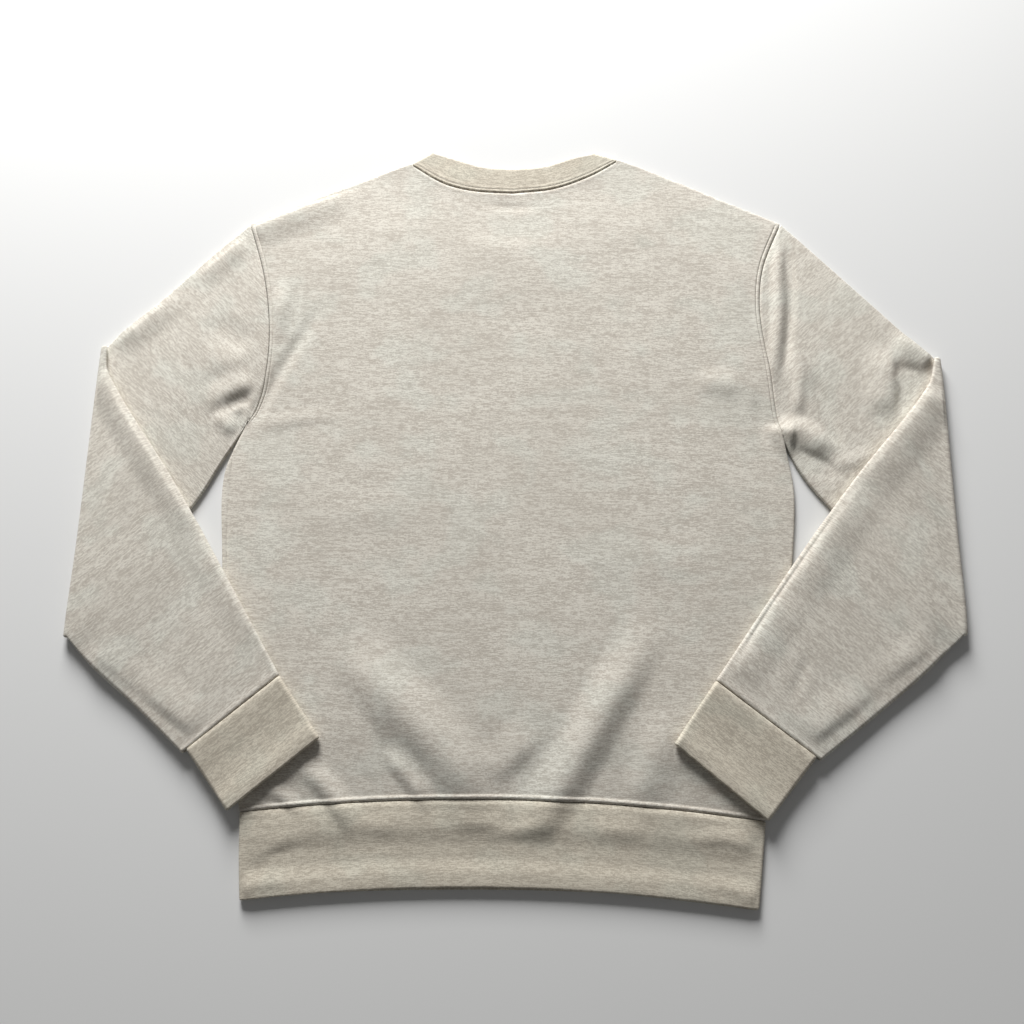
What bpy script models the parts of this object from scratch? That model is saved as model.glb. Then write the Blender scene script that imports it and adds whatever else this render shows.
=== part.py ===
"""Crewneck sweatshirt of brushed fleece with ribbed neckband, cuffs and hem.

It lies on its front with the back up. Each sleeve is turned once, along an upright fold at its
outer side, so that the forearm and cuff lie over the upper sleeve and the lower back.
Every cut and sewn piece is an object of its own: two body panels, two sleeves and four ribs.

Plan sizes are millimetres from the middle of the lower hem edge: x out from the centre line of the
body, y up towards the collar. Heights are millimetres above the surface that it lies on.
"""
from collections import namedtuple
from math import pi

import bmesh
import bpy
import numpy as np

MM = 0.001
FLEECE = 1.8                 # wall of the body and the sleeves
RIB = 2.4                    # wall of the ribs, two plies of one knitted band
SEAM = 0.3                   # gap between pieces that are sewn together
LAYER_GAP = 0.6              # air between layers that lie on each other
BOX_MIDDLE = (10.8, 346.3)   # plan middle of the whole garment, which becomes the origin

LEFT, RIGHT = -1, 1          # the wearer's sides; the left one lies on -X because the back is up
SIDE_NAMES = {LEFT: "left", RIGHT: "right"}

# heights of the middle of the upper wall
RIM_HEIGHT = 3.0             # on the side and shoulder edges, 0.3 mm above the front panel
EDGE_HEIGHT = 3.7            # just inside an edge, and where a sleeve turns over
FLAT_HEIGHT = 4.2            # where it lies flat
RIM_WIDTH = 2.5              # the rounding of a side edge
EDGE_WIDTH = 15.0
PUFF = 2.0                   # brushed cloth lofts by this much away from its edges
PUFF_REACH = 75.0
FOREARM_PUFF = 1.6
FOREARM_PUFF_REACH = 30.0
FOLD_CALM = 40.0             # the cloth lies flatter this near to a fold
NECK_CALM = 45.0             # it lies above the front neckband this near to a neck point
DRAPE_REACH = 32.0           # a forearm comes down to the floor this far outside what it lies on

SLEEVE_EDGE_RADIUS = (EDGE_HEIGHT - FLEECE / 2) / 2     # middle of the wall, round a sleeve's edge
RIB_EDGE_RADIUS = (FLAT_HEIGHT - RIB / 2) / 2           # the same round a rib's edge
SLEEVE_FOLD_RADIUS = (RIB / 2 + LAYER_GAP + FLEECE / 2 + 2 * SLEEVE_EDGE_RADIUS) / 2
NECK_BAND_WIDTH = 24.0
FRONT_NECK_DROP = 92.0       # front neckline below the neck points
HEM_BOW = 14.0               # the middle of the hem lies this far above its corners
BOW_POINTS = 41

# facets
SHOULDER_COLUMNS, NECK_STATIONS, FRONT_NECK_STATIONS = 8, 15, 25
SIDE_ROWS, SIDE_CROWDING = 19, 1.2          # rows of the flanks crowd towards the long folds
RIM_SHARE = 0.015                           # a first column this near to a panel's side edge
HEM_STATIONS, HEM_ROWS = 26, 6
SLEEVE_STATIONS, UPPER_ROWS, FOLD_ROWS, FOREARM_ROWS, CUFF_ROWS = 11, 9, 6, 12, 5
NECK_TURN_ROWS = 5
EDGE_ANGLES = (pi / 4, 0.0, -pi / 4)        # points of a rounded edge, between its two layers

Place = namedtuple("Place", "name left_x left_y right_x right_y")

SHOULDER = (
    Place("neck point", 98, 678, 101, 686),
    Place("middle", 166, 650, 150, 667),
    Place("outer", 203, 634, 197.5, 646.5),
    Place("tip", 250, 612, 257, 621),
)
ARMHOLE = (
    Place("tip", 250, 612, 257, 621),
    Place("upper", 232, 555, 238, 573),
    Place("deepest", 224, 500, 234, 529),
    Place("lower", 226, 452, 242, 469),
    Place("curve", 233, 426, 247, 427),
    Place("underarm", 242, 410, 252, 406),
)
SLEEVE_TOP = (
    Place("tip", 250, 612, 257, 621),
    Place("upper", 286, 577, 283.5, 595.5),
    Place("middle", 329, 532, 332.5, 547.5),
    Place("lower", 361, 502.5, 371, 509.5),
    Place("elbow", 374.5, 485.5, 395, 487.5),
)
SLEEVE_UNDER = (
    Place("underarm", 242, 410, 252, 406),
    Place("upper", 260, 379, 269, 373),
    Place("lower", 285, 334, 294, 342),
    Place("fold", 381.5, 215.5, 401.5, 230.5),
)
SLEEVE_FOLD = (
    Place("elbow", 374.5, 485.5, 395, 487.5),
    Place("upper", 375.5, 452, 396.5, 458),
    Place("middle", 378.7, 300, 399.5, 324),
    Place("lower", 381, 240, 402, 254),
    Place("fold", 381.5, 215.5, 401.5, 230.5),
)
FOREARM_INNER = (
    Place("elbow", 374.5, 485.5, 395, 487.5),
    Place("upper", 370, 459, 386.5, 460),
    Place("middle", 303, 361, 317, 374),
    Place("lower", 254, 284, 259, 296),
    Place("cuff", 194, 186, 184, 188),
)
FOREARM_LOWER = (
    Place("fold", 381.5, 215.5, 401.5, 230.5),
    Place("upper", 360, 192, 366, 196),
    Place("lower", 318.5, 157.5, 319.5, 157.5),
    Place("cuff", 274, 119, 273, 122),
)
CUFF_INNER = (
    Place("seam", 194, 186, 184, 188),
    Place("end", 156, 134, 147, 134),
)
CUFF_LOWER = (
    Place("seam", 270.5, 121.8, 269.5, 124.5),
    Place("end", 231.5, 72, 226, 71.5),
)
SIDE = (
    Place("hem", 222, 71, 225, 71),
    Place("lower", 240, 160, 242, 165),
    Place("waist", 254, 300, 257, 305),
    Place("swell", 257, 364, 260, 360),
    Place("underarm", 242, 410, 252, 406),
)
HEM_SIDE = (
    Place("seam", 222, 71, 225, 71),
    Place("middle", 220, 33, 221, 33),
    Place("corner", 217, 0, 217, 0),
)
NECK_SEAM = (
    Place("neck point", 98, 678, 101, 686),
    Place("shoulder", 67, 658, 75, 668),
    Place("inner", 38, 650.5, 40, 654),
    Place("centre", 0, 648.5, 0, 648.5),
)
NECK_FREE = (
    Place("neck point", 77.5, 691, 77, 693),
    Place("shoulder", 55, 683, 57, 686),
    Place("inner", 30, 675.5, 31, 677),
    Place("centre", 0, 673.5, 0, 673.5),
)

# long soft folds of the upper layer; each side falls away over its own width
Fold = namedtuple("Fold", "name head_x head_y foot_x foot_y height left_width right_width")
FOLDS = (
    Fold("left of centre", -108, 203, -12, 62, 4.5, 17, 34),
    Fold("right of centre", 122, 232, 24, 56, 5.5, 36, 20),
    Fold("beside left cuff", -182, 118, -140, 50, 3.0, 14, 16),
    Fold("small bulge", -96, 124, -58, 76, 2.2, 14, 18),
)
FOLD_HEAD, FOLD_FOOT = 0.45, 0.25   # shares of a fold's length over which it rises and fades


def ease(value):
    """0 to 1 with level ends."""
    value = np.clip(value, 0.0, 1.0)
    return value * value * (3.0 - 2.0 * value)


def smooth(points, pieces=10):
    """A curve through the points, whose tangents follow their neighbours."""
    slopes = np.gradient(points, axis=0)
    slopes /= np.hypot(*slopes.T)[:, None]
    line = [points[:1]]
    t = (np.arange(1, pieces + 1) / pieces)[:, None]
    for here, there, leave, arrive in zip(points[:-1], points[1:], slopes[:-1], slopes[1:]):
        span = np.hypot(*(there - here))
        line.append((2 * t**3 - 3 * t**2 + 1) * here + (t**3 - 2 * t**2 + t) * span * leave
                    + (3 * t**2 - 2 * t**3) * there + (t**3 - t**2) * span * arrive)
    return np.vstack(line)


def plan_points(places, side):
    """The points of a table of places on one side of the garment."""
    if side == LEFT:
        return np.array([(-place.left_x, place.left_y) for place in places], float)
    return np.array([(place.right_x, place.right_y) for place in places], float)


def edge(places, side):
    return smooth(plan_points(places, side))


def along(line, shares):
    """Points at the given shares of a line's length."""
    steps = np.hypot(*np.diff(line, axis=0).T)
    reach = np.concatenate(([0.0], np.cumsum(steps)))
    wanted = np.asarray(shares) * reach[-1]
    return np.column_stack([np.interp(wanted, reach, line[:, axis]) for axis in (0, 1)])


def evenly(line, count):
    return along(line, np.linspace(0.0, 1.0, count))


def shifted(line, amount):
    """A line moved sideways, to the left of its own direction for a positive amount."""
    runs = np.gradient(line, axis=0)
    runs /= np.hypot(*runs.T)[:, None]
    return line + amount * np.column_stack([-runs[:, 1], runs[:, 0]])


def coons(first_row, last_row, first_column, last_column, across, up):
    """A plan grid inside four edges; across and up are the columns' and rows' shares."""
    u, v = across[None, :, None], up[:, None, None]
    between_rows = (1 - v) * first_row[None] + v * last_row[None]
    between_columns = (1 - u) * first_column[:, None] + u * last_column[:, None]
    corners = ((1 - u) * (1 - v) * first_row[0] + u * (1 - v) * first_row[-1]
               + (1 - u) * v * last_row[0] + u * v * last_row[-1])
    return between_rows + between_columns - corners


def distance(lines, plan):
    """Distance from each plan point to the nearest of some lines."""
    nearest = np.full(plan.shape[:-1], np.inf)
    for line in lines:
        for start, end in zip(line[:-1], line[1:]):
            run = end - start
            if not run.any():
                continue
            share = np.clip((plan - start) @ run / (run @ run), 0.0, 1.0)
            away = plan - start - share[..., None] * run
            nearest = np.minimum(nearest, np.hypot(away[..., 0], away[..., 1]))
    return nearest


def inside(outline, plan):
    """Whether each plan point lies within a closed outline."""
    x, y = plan[..., 0], plan[..., 1]
    odd = np.zeros(x.shape, bool)
    for (x0, y0), (x1, y1) in zip(outline, np.roll(outline, -1, axis=0)):
        if y0 != y1:
            odd ^= ((y0 > y) != (y1 > y)) & (x < x0 + (y - y0) * (x1 - x0) / (y1 - y0))
    return odd


def bowed(left_end, right_end):
    """A hem line, bowed up between its two ends."""
    x = np.linspace(left_end[0], right_end[0], BOW_POINTS)
    middle, half = (left_end[0] + right_end[0]) / 2, (right_end[0] - left_end[0]) / 2
    level = np.interp(x, (left_end[0], right_end[0]), (left_end[1], right_end[1]))
    return np.column_stack([x, level + HEM_BOW * (1 - ((x - middle) / half) ** 2)])


SEAM_OF_HEM = bowed(edge(HEM_SIDE, LEFT)[0], edge(HEM_SIDE, RIGHT)[0])
FOOT_OF_HEM = bowed(edge(HEM_SIDE, LEFT)[-1], edge(HEM_SIDE, RIGHT)[-1])
FREE_EDGES = [edge(places, side) for side in (LEFT, RIGHT)
              for places in (SHOULDER, SLEEVE_TOP, SLEEVE_UNDER, SIDE, HEM_SIDE)]
SLEEVE_FOLDS = [edge(SLEEVE_FOLD, side) for side in (LEFT, RIGHT)]
NECK_POINTS = [edge(NECK_SEAM, side)[0] for side in (LEFT, RIGHT)]
NECK_SEAMS = [edge(NECK_SEAM, side) for side in (LEFT, RIGHT)]


def half_outline(side):
    """One side of the layers that lie below the forearms, from hem corner to neck point."""
    return np.vstack([edge(HEM_SIDE, side)[::-1], edge(SIDE, side), edge(SLEEVE_UNDER, side),
                      edge(SLEEVE_FOLD, side)[::-1], edge(SLEEVE_TOP, side)[::-1],
                      edge(SHOULDER, side)[::-1]])


LYING_OUTLINE = np.vstack([half_outline(LEFT), half_outline(RIGHT)[::-1]])


def relief(plan):
    """Height that the long folds add."""
    height = np.zeros(plan.shape[:-1])
    for fold in FOLDS:
        head = np.array([fold.head_x, fold.head_y], float)
        run = np.array([fold.foot_x, fold.foot_y]) - head
        length = np.hypot(*run)
        run /= length
        share = (plan - head) @ run / length
        aside = (plan - head) @ np.array([-run[1], run[0]])     # positive to the right
        width = np.where(aside < 0, fold.left_width, fold.right_width)
        height += (fold.height * ease(share / FOLD_HEAD) * ease((1 - share) / FOLD_FOOT)
                   * ease(1 - np.abs(aside) / width))
    return height


def top_height(plan):
    """Middle of the upper wall of the body and the upper sleeves."""
    free = distance(FREE_EDGES, plan)
    calm = ease(distance(SLEEVE_FOLDS, plan) / FOLD_CALM)
    sewn = distance([SEAM_OF_HEM, *NECK_SEAMS], plan)
    height = RIM_HEIGHT + (EDGE_HEIGHT - RIM_HEIGHT) * ease(free / RIM_WIDTH)
    height += calm * (FLAT_HEIGHT - EDGE_HEIGHT) * ease(free / EDGE_WIDTH)
    height += calm * PUFF * ease(free / PUFF_REACH) * ease(sewn / PUFF_REACH)
    for point in NECK_POINTS:
        near = ease(2 - 2 * np.hypot(*np.moveaxis(plan - point, -1, 0)) / NECK_CALM)
        height += near * np.maximum(FLAT_HEIGHT - height, 0)
    return height + relief(plan)


def support_height(plan):
    """Upper side of what a forearm lies on, coming down to the floor around it."""
    outside = np.where(inside(LYING_OUTLINE, plan), 0.0, distance([LYING_OUTLINE], plan))
    on_cloth = np.maximum(top_height(plan), EDGE_HEIGHT) + RIB / 2
    return on_cloth * (1 - ease(outside / DRAPE_REACH))


def edge_turns(tips, inners, radius, wall):
    """Centres of the rounded edges that reach the tips, and the way out of each."""
    away = tips - inners
    away /= np.hypot(away[:, 0], away[:, 1])[:, None]
    return tips - away * (radius + wall / 2)[:, None], away


def flat_tube(rows, top, bottom, wall):
    """Rings of the middle of a flattened tube's wall, which reach the outer columns of its rows.

    Top and bottom give the heights of its two layers at plan points; a tube that was turned over
    has its top layer below.
    """
    ends = []
    for tips, inners in ((rows[:, 0], rows[:, 1]), (rows[:, -1], rows[:, -2])):
        centres, away = edge_turns(tips, inners, np.abs(top(tips) - bottom(tips)) / 2, wall)
        middle, half = (top(centres) + bottom(centres)) / 2, (top(centres) - bottom(centres)) / 2
        ends.append([np.column_stack([centres + away * (np.abs(half) * np.cos(angle))[:, None],
                                      middle + half * np.sin(angle)])
                     for angle in (pi / 2, *EDGE_ANGLES, -pi / 2)])
    start, finish = ends
    across = rows[:, 1:-1]
    upper = np.moveaxis(np.dstack([across, top(across)]), 1, 0)
    lower = np.moveaxis(np.dstack([across, bottom(across)]), 1, 0)
    return np.stack([start[0], *upper, *finish, *lower[::-1], *start[:0:-1]], axis=1)


def fold_rings(line, outward, middle_height, side_radius, fold_radius, wall, count):
    """Rings of a flattened tube that turns over about a line, from lying to turned."""
    centres, away = edge_turns(line[[0, -1]], line[[1, -2]], np.full(2, side_radius), wall)
    start, finish = [[(centre + out * side_radius * np.cos(angle), side_radius * np.sin(angle))
                      for angle in (pi / 2, *EDGE_ANGLES, -pi / 2)]
                     for centre, out in zip(centres, away)]
    upper = [(point, side_radius) for point in line[1:-1]]
    lower = [(point, -side_radius) for point in line[1:-1]]
    section = [start[0], *upper, *finish, *lower[::-1], *start[:0:-1]]
    plan = np.array([point for point, offset in section])
    reach = fold_radius - np.array([offset for point, offset in section])
    return np.array([np.column_stack([plan + outward * (reach * np.sin(turn))[:, None],
                                      middle_height + fold_radius - reach * np.cos(turn)])
                     for turn in np.linspace(0.0, pi, count + 1)[1:-1]])


def outward_of(line, side):
    """The level direction that points out of the garment, square to a line."""
    run = (line[-1] - line[0]) / np.hypot(*(line[-1] - line[0]))
    normal = np.array([-run[1], run[0]])
    return normal if normal[0] * side > 0 else -normal


def make_material(name, colour, roughness):
    material = bpy.data.materials.new(name)
    material.use_nodes = True
    shader = material.node_tree.nodes["Principled BSDF"]
    shader.inputs["Base Color"].default_value = (*colour, 1.0)
    shader.inputs["Roughness"].default_value = roughness
    shader.inputs["Metallic"].default_value = 0.0
    return material


def in_metres(points):
    """Model millimetres to the part's own frame."""
    points = np.array(points, float)
    points[..., 0] -= BOX_MIDDLE[0]
    points[..., 1] -= BOX_MIDDLE[1]
    return points * MM


def wall_normals(rows, round_rows, round_columns):
    """Directions in which a wall has its thickness, square to its cut edges."""
    def change(points, axis, closed):
        if closed:
            return np.roll(points, -1, axis) - np.roll(points, 1, axis)
        return np.gradient(points, axis=axis)

    normals = np.cross(change(rows, 0, round_rows), change(rows, 1, round_columns))
    normals /= np.linalg.norm(normals, axis=-1, keepdims=True)
    cut_edges = []
    if not round_rows:
        cut_edges += [(0, slice(None)), (-1, slice(None))]
    if not round_columns:
        cut_edges += [(slice(None), 0), (slice(None), -1)]
    for cut in cut_edges:
        runs = change(rows[cut], 0, round_columns and cut[0] != slice(None))
        runs[:, 2] = 0.0
        lengths = np.linalg.norm(runs, axis=1)
        for index in np.flatnonzero(lengths < 1e-6):     # upright there: level run of the one before
            runs[index], lengths[index] = runs[index - 1], lengths[index - 1]
        runs /= lengths[:, None]
        level = np.sum(normals[cut] * runs, axis=1, keepdims=True) * runs
        normals[cut] = level + normals[cut] * (0.0, 0.0, 1.0)
        normals[cut] /= np.linalg.norm(normals[cut], axis=1, keepdims=True)
    return normals


def make_wall(name, rows, round_rows, round_columns, wall, material, collection):
    """A wall of even thickness about a grid of points, closed round either way on request."""
    half_wall = wall_normals(rows, round_rows, round_columns) * wall / 2
    row_count, column_count = rows.shape[:2]
    body = bmesh.new()
    outer, inner = [[[body.verts.new(point) for point in row] for row in in_metres(rows + shift)]
                    for shift in (half_wall, -half_wall)]
    last_row = row_count if round_rows else row_count - 1
    last_column = column_count if round_columns else column_count - 1
    for i in range(last_row):
        for j in range(last_column):
            ahead, beside = (i + 1) % row_count, (j + 1) % column_count
            for skin in (outer, inner):
                body.faces.new((skin[i][j], skin[i][beside], skin[ahead][beside], skin[ahead][j]))
    if not round_rows:
        for i in (0, row_count - 1):
            for j in range(last_column):
                beside = (j + 1) % column_count
                body.faces.new((outer[i][j], outer[i][beside], inner[i][beside], inner[i][j]))
    if not round_columns:
        for j in (0, column_count - 1):
            for i in range(last_row):
                ahead = (i + 1) % row_count
                body.faces.new((outer[i][j], outer[ahead][j], inner[ahead][j], inner[i][j]))
    bmesh.ops.recalc_face_normals(body, faces=body.faces)
    mesh = bpy.data.meshes.new(name)
    body.to_mesh(mesh)
    body.free()
    mesh.shade_smooth()
    mesh.materials.append(material)
    piece = bpy.data.objects.new(name, mesh)
    collection.objects.link(piece)
    return piece


def neck_corner(side):
    """Ends of the neckband's turn, drawn in so that the turn reaches the outline.

    Gives its ends at the seam and at the free edge, and the ways out over the turn and along it.
    """
    seam, free = edge(NECK_SEAM, side)[0], edge(NECK_FREE, side)[0]
    run = (free - seam) / np.hypot(*(free - seam))
    out = side * np.array([run[1], -run[0]])
    inset = out * (RIB_EDGE_RADIUS + RIB / 2)
    return seam - inset, free - inset, out, run


def neck_line(places, corner_index):
    """The back neckline through a table of places, between the drawn-in ends of the turns."""
    halves = {}
    for side in (LEFT, RIGHT):
        points = plan_points(places, side)
        points[0] = neck_corner(side)[corner_index]
        halves[side] = smooth(points)
    return np.vstack([halves[LEFT], halves[RIGHT][::-1][1:]])


def panel_neck():
    """The back panel's neck edge, from the outline round the turn and along the neckband's seam."""
    line = shifted(evenly(neck_line(NECK_SEAM, 0), NECK_STATIONS), -SEAM / 2)
    ends = {}
    for side in (LEFT, RIGHT):
        seam_end, free_end, out, run = neck_corner(side)
        ends[side] = [edge(NECK_SEAM, side)[0] - SEAM * run, seam_end - SEAM * run]
    return np.vstack([ends[LEFT], line[1:-1], ends[RIGHT][::-1]])


def armhole_line(side, gap_side):
    """The armhole's stations, on the sleeve's side of the seam (1) or on the body's (-1)."""
    return shifted(evenly(edge(ARMHOLE, side), SLEEVE_STATIONS), gap_side * side * SEAM / 2)


def panel_edges(neck):
    """Columns of the bottom, top, left and right of a body panel, and their shares."""
    bottom = shifted(SEAM_OF_HEM, SEAM / 2)
    sides, tops = {}, {}
    for side, corner in ((LEFT, bottom[0]), (RIGHT, bottom[-1])):
        armhole = armhole_line(side, -1)[::-1]
        flank = np.vstack([corner, edge(SIDE, side)[1:-1], armhole[:1]])
        flank = along(flank, np.linspace(0.0, 1.0, SIDE_ROWS) ** SIDE_CROWDING)
        rim = along(armhole[-2:], [1 - RIM_WIDTH / np.hypot(*(armhole[-1] - armhole[-2]))])
        sides[side] = np.vstack([flank, armhole[1:-1], rim, armhole[-1:]])
        shoulder = np.vstack([armhole[-1:], edge(SHOULDER, side)[-2:0:-1],
                              neck[:1] if side == LEFT else neck[-1:]])
        tops[side] = along(shoulder, [0.0, RIM_SHARE, *np.linspace(0.0, 1.0, SHOULDER_COLUMNS)[1:]])
    top = np.vstack([tops[LEFT], neck[1:-1], tops[RIGHT][::-1]])
    across = (top[:, 0] - top[0, 0]) / (top[-1, 0] - top[0, 0])
    left = sides[LEFT]
    up = (left[:, 1] - left[0, 1]) / (left[-1, 1] - left[0, 1])
    return along(bottom, across), top, left, sides[RIGHT], across, up


def front_neckline(drop, ends):
    """Half an ellipse below two ends."""
    (left_x, left_y), (right_x, right_y) = ends
    turn = np.linspace(0.0, pi, FRONT_NECK_STATIONS)
    share = (1 - np.cos(turn)) / 2
    return np.column_stack([left_x + (right_x - left_x) * share,
                            left_y + (right_y - left_y) * share - drop * np.sin(turn)])


def seam_ends():
    return np.array([neck_corner(side)[0] for side in (LEFT, RIGHT)])


def make_back_panel(fleece, collection):
    grid = coons(*panel_edges(panel_neck()))
    rows = np.dstack([grid, top_height(grid)])
    return make_wall("back_panel", rows, False, False, FLEECE, fleece, collection)


def make_front_panel(fleece, collection):
    """The lower panel lies flat, so it is a plain outline with a thickness."""
    neck = shifted(front_neckline(FRONT_NECK_DROP, seam_ends()), -SEAM)
    bottom = shifted(SEAM_OF_HEM, SEAM / 2)[1:-1]
    halves = {}
    for side in (LEFT, RIGHT):
        armhole = armhole_line(side, -1)[::-1]
        halves[side] = np.vstack([edge(SIDE, side)[:-1], armhole, edge(SHOULDER, side)[-2:0:-1]])
    outline = np.vstack([halves[LEFT], neck, halves[RIGHT][::-1], bottom[::-1]])
    curve = bpy.data.curves.new("front_panel", "CURVE")
    curve.dimensions = "2D"
    curve.fill_mode = "BOTH"
    curve.extrude = FLEECE / 2 * MM
    spline = curve.splines.new("POLY")
    spline.points.add(len(outline) - 1)
    for point, (x, y) in zip(spline.points, in_metres(outline)):
        point.co = (x, y, 0.0, 1.0)
    spline.use_cyclic_u = True
    curve.materials.append(fleece)
    piece = bpy.data.objects.new("front_panel", curve)
    piece.location.z = FLEECE / 2 * MM
    collection.objects.link(piece)
    return piece


def floor_layer(wall):
    """Heights of a wall that lies on the floor."""
    return lambda plan: np.full(np.shape(plan)[:-1], wall / 2)


def resting_layer(wall):
    """Heights of a forearm's or cuff's wall that lies on what is below it."""
    return lambda plan: support_height(plan) + LAYER_GAP + wall / 2


def make_sleeve(side, fleece, collection):
    """Upper sleeve, the turn at its outer side, and the forearm that lies back over it."""
    across = np.linspace(0.0, 1.0, SLEEVE_STATIONS)
    upper_up = np.linspace(0.0, 1.0, UPPER_ROWS)
    forearm_up = np.linspace(0.0, 1.0, FOREARM_ROWS)
    armhole = armhole_line(side, 1)
    fold = along(edge(SLEEVE_FOLD, side), across)
    upper = coons(armhole, fold, along(edge(SLEEVE_TOP, side), upper_up),
                  along(edge(SLEEVE_UNDER, side), upper_up), across, upper_up)
    inner, lower = edge(FOREARM_INNER, side), edge(FOREARM_LOWER, side)
    wrist = along(np.array([inner[-1], lower[-1]]), across)
    forearm = coons(fold, wrist, along(inner, forearm_up), along(lower, forearm_up),
                    across, forearm_up)
    long_edges = [inner, lower]
    resting = resting_layer(FLEECE)

    def puffed(plan):
        free = ease(distance(long_edges, plan) / FOREARM_PUFF_REACH)
        calm = ease(distance(SLEEVE_FOLDS, plan) / FOLD_CALM)
        return resting(plan) + 2 * SLEEVE_EDGE_RADIUS + FOREARM_PUFF * free * calm

    def upper_top(plan):
        return np.maximum(top_height(plan), EDGE_HEIGHT)

    rings = np.vstack([
        flat_tube(upper, upper_top, floor_layer(FLEECE), FLEECE),
        fold_rings(fold, outward_of(fold, side), FLEECE / 2 + SLEEVE_EDGE_RADIUS,
                   SLEEVE_EDGE_RADIUS, SLEEVE_FOLD_RADIUS, FLEECE, FOLD_ROWS),
        flat_tube(forearm, resting, puffed, FLEECE),
    ])
    return make_wall("sleeve_" + SIDE_NAMES[side], rings, False, True, FLEECE, fleece, collection)


def make_cuff(side, rib, collection):
    """The doubled rib at the wrist, a short flat tube."""
    across = np.linspace(0.0, 1.0, SLEEVE_STATIONS)
    up = np.linspace(0.0, 1.0, CUFF_ROWS)
    inner, lower = edge(CUFF_INNER, side), edge(CUFF_LOWER, side)
    away = (inner[-1] - inner[0]) / np.hypot(*(inner[-1] - inner[0])) * SEAM
    inner, lower = along(inner, up), along(lower, up)
    rows = coons(along(np.array([inner[0], lower[0]]), across),
                 along(np.array([inner[-1], lower[-1]]), across), inner, lower, across, up)
    rows[0] += away
    resting = resting_layer(RIB)

    def upper(plan):
        return resting(plan) + 2 * RIB_EDGE_RADIUS

    rings = flat_tube(rows, resting, upper, RIB)
    return make_wall("cuff_" + SIDE_NAMES[side], rings, False, True, RIB, rib, collection)


def make_hem(rib, collection):
    """The doubled rib below both body panels, a wide flat tube."""
    across = np.linspace(0.0, 1.0, HEM_STATIONS)
    up = np.linspace(0.0, 1.0, HEM_ROWS)
    seam = shifted(SEAM_OF_HEM, -SEAM / 2)
    left, right = edge(HEM_SIDE, LEFT), edge(HEM_SIDE, RIGHT)
    left[0], right[0] = seam[0], seam[-1]
    rows = coons(along(seam, across), along(FOOT_OF_HEM, across),
                 along(left, up), along(right, up), across, up)
    rings = flat_tube(rows, lambda plan: FLAT_HEIGHT + relief(plan),
                      floor_layer(RIB), RIB)
    return make_wall("hem_rib", rings, False, True, RIB, rib, collection)


def make_neckband(rib, collection):
    """The doubled rib round the neck: its back on top, its front below, turned at both ends."""
    columns = np.array([0.0, 0.5, 1.0])[None, :, None]
    back_seam = shifted(evenly(neck_line(NECK_SEAM, 0), NECK_STATIONS), SEAM / 2)
    back_free = evenly(neck_line(NECK_FREE, 1), NECK_STATIONS)
    for line, corner_index in ((back_seam, 0), (back_free, 1)):
        line[0], line[-1] = neck_corner(LEFT)[corner_index], neck_corner(RIGHT)[corner_index]
    front_seam = front_neckline(FRONT_NECK_DROP, back_seam[[0, -1]])
    band_drop = FRONT_NECK_DROP - NECK_BAND_WIDTH + back_free[0, 1] - back_seam[0, 1]
    front_free = front_neckline(band_drop, back_free[[0, -1]])

    def strip(seam, free, height):
        plan = (1 - columns) * seam[:, None] + columns * free[:, None]
        return np.dstack([plan, np.full(plan.shape[:2], height)])

    def turn(side, angles):
        seam_end, free_end, out, run = neck_corner(side)
        line = (1 - columns[0]) * seam_end + columns[0] * free_end
        return np.array([np.column_stack([line + out * RIB_EDGE_RADIUS * np.sin(angle),
                                          np.full(3, RIB / 2 + RIB_EDGE_RADIUS * (1 - np.cos(angle)))])
                         for angle in angles])

    angles = np.linspace(0.0, pi, NECK_TURN_ROWS + 1)[1:-1]
    rows = np.vstack([
        strip(back_seam, back_free, FLAT_HEIGHT),
        turn(RIGHT, angles[::-1]),
        strip(front_seam[::-1], front_free[::-1], RIB / 2),
        turn(LEFT, angles),
    ])
    return make_wall("neck_rib", rows, True, False, RIB, rib, collection)


def main():
    for old in list(bpy.data.objects):
        bpy.data.objects.remove(old, do_unlink=True)
    collection = bpy.data.collections.new("crewneck_sweatshirt")
    bpy.context.scene.collection.children.link(collection)
    fleece = make_material("oatmeal_fleece", (0.58, 0.53, 0.45), 0.95)
    rib = make_material("oatmeal_rib", (0.56, 0.50, 0.41), 0.95)
    make_front_panel(fleece, collection)
    make_back_panel(fleece, collection)
    make_hem(rib, collection)
    make_neckband(rib, collection)
    for side in (LEFT, RIGHT):
        make_sleeve(side, fleece, collection)
        make_cuff(side, rib, collection)


main()
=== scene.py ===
# %% [markdown]
# # A crewneck sweatshirt, laid flat
# This lesson dresses the plain solids of a sweatshirt in Blender. The garment lies on its front with
# the back up, and each sleeve is turned once at its outer side, so that the forearm lies over the body.
# The solids are right in size and place, but they are coarse. Every piece of cloth is built again here
# as a thin closed shell on a fine grid, from the same pattern points, and then gets its creases, seams,
# stitches and a melange yarn.

from collections import namedtuple
from math import cos, pi, radians, sin

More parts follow.
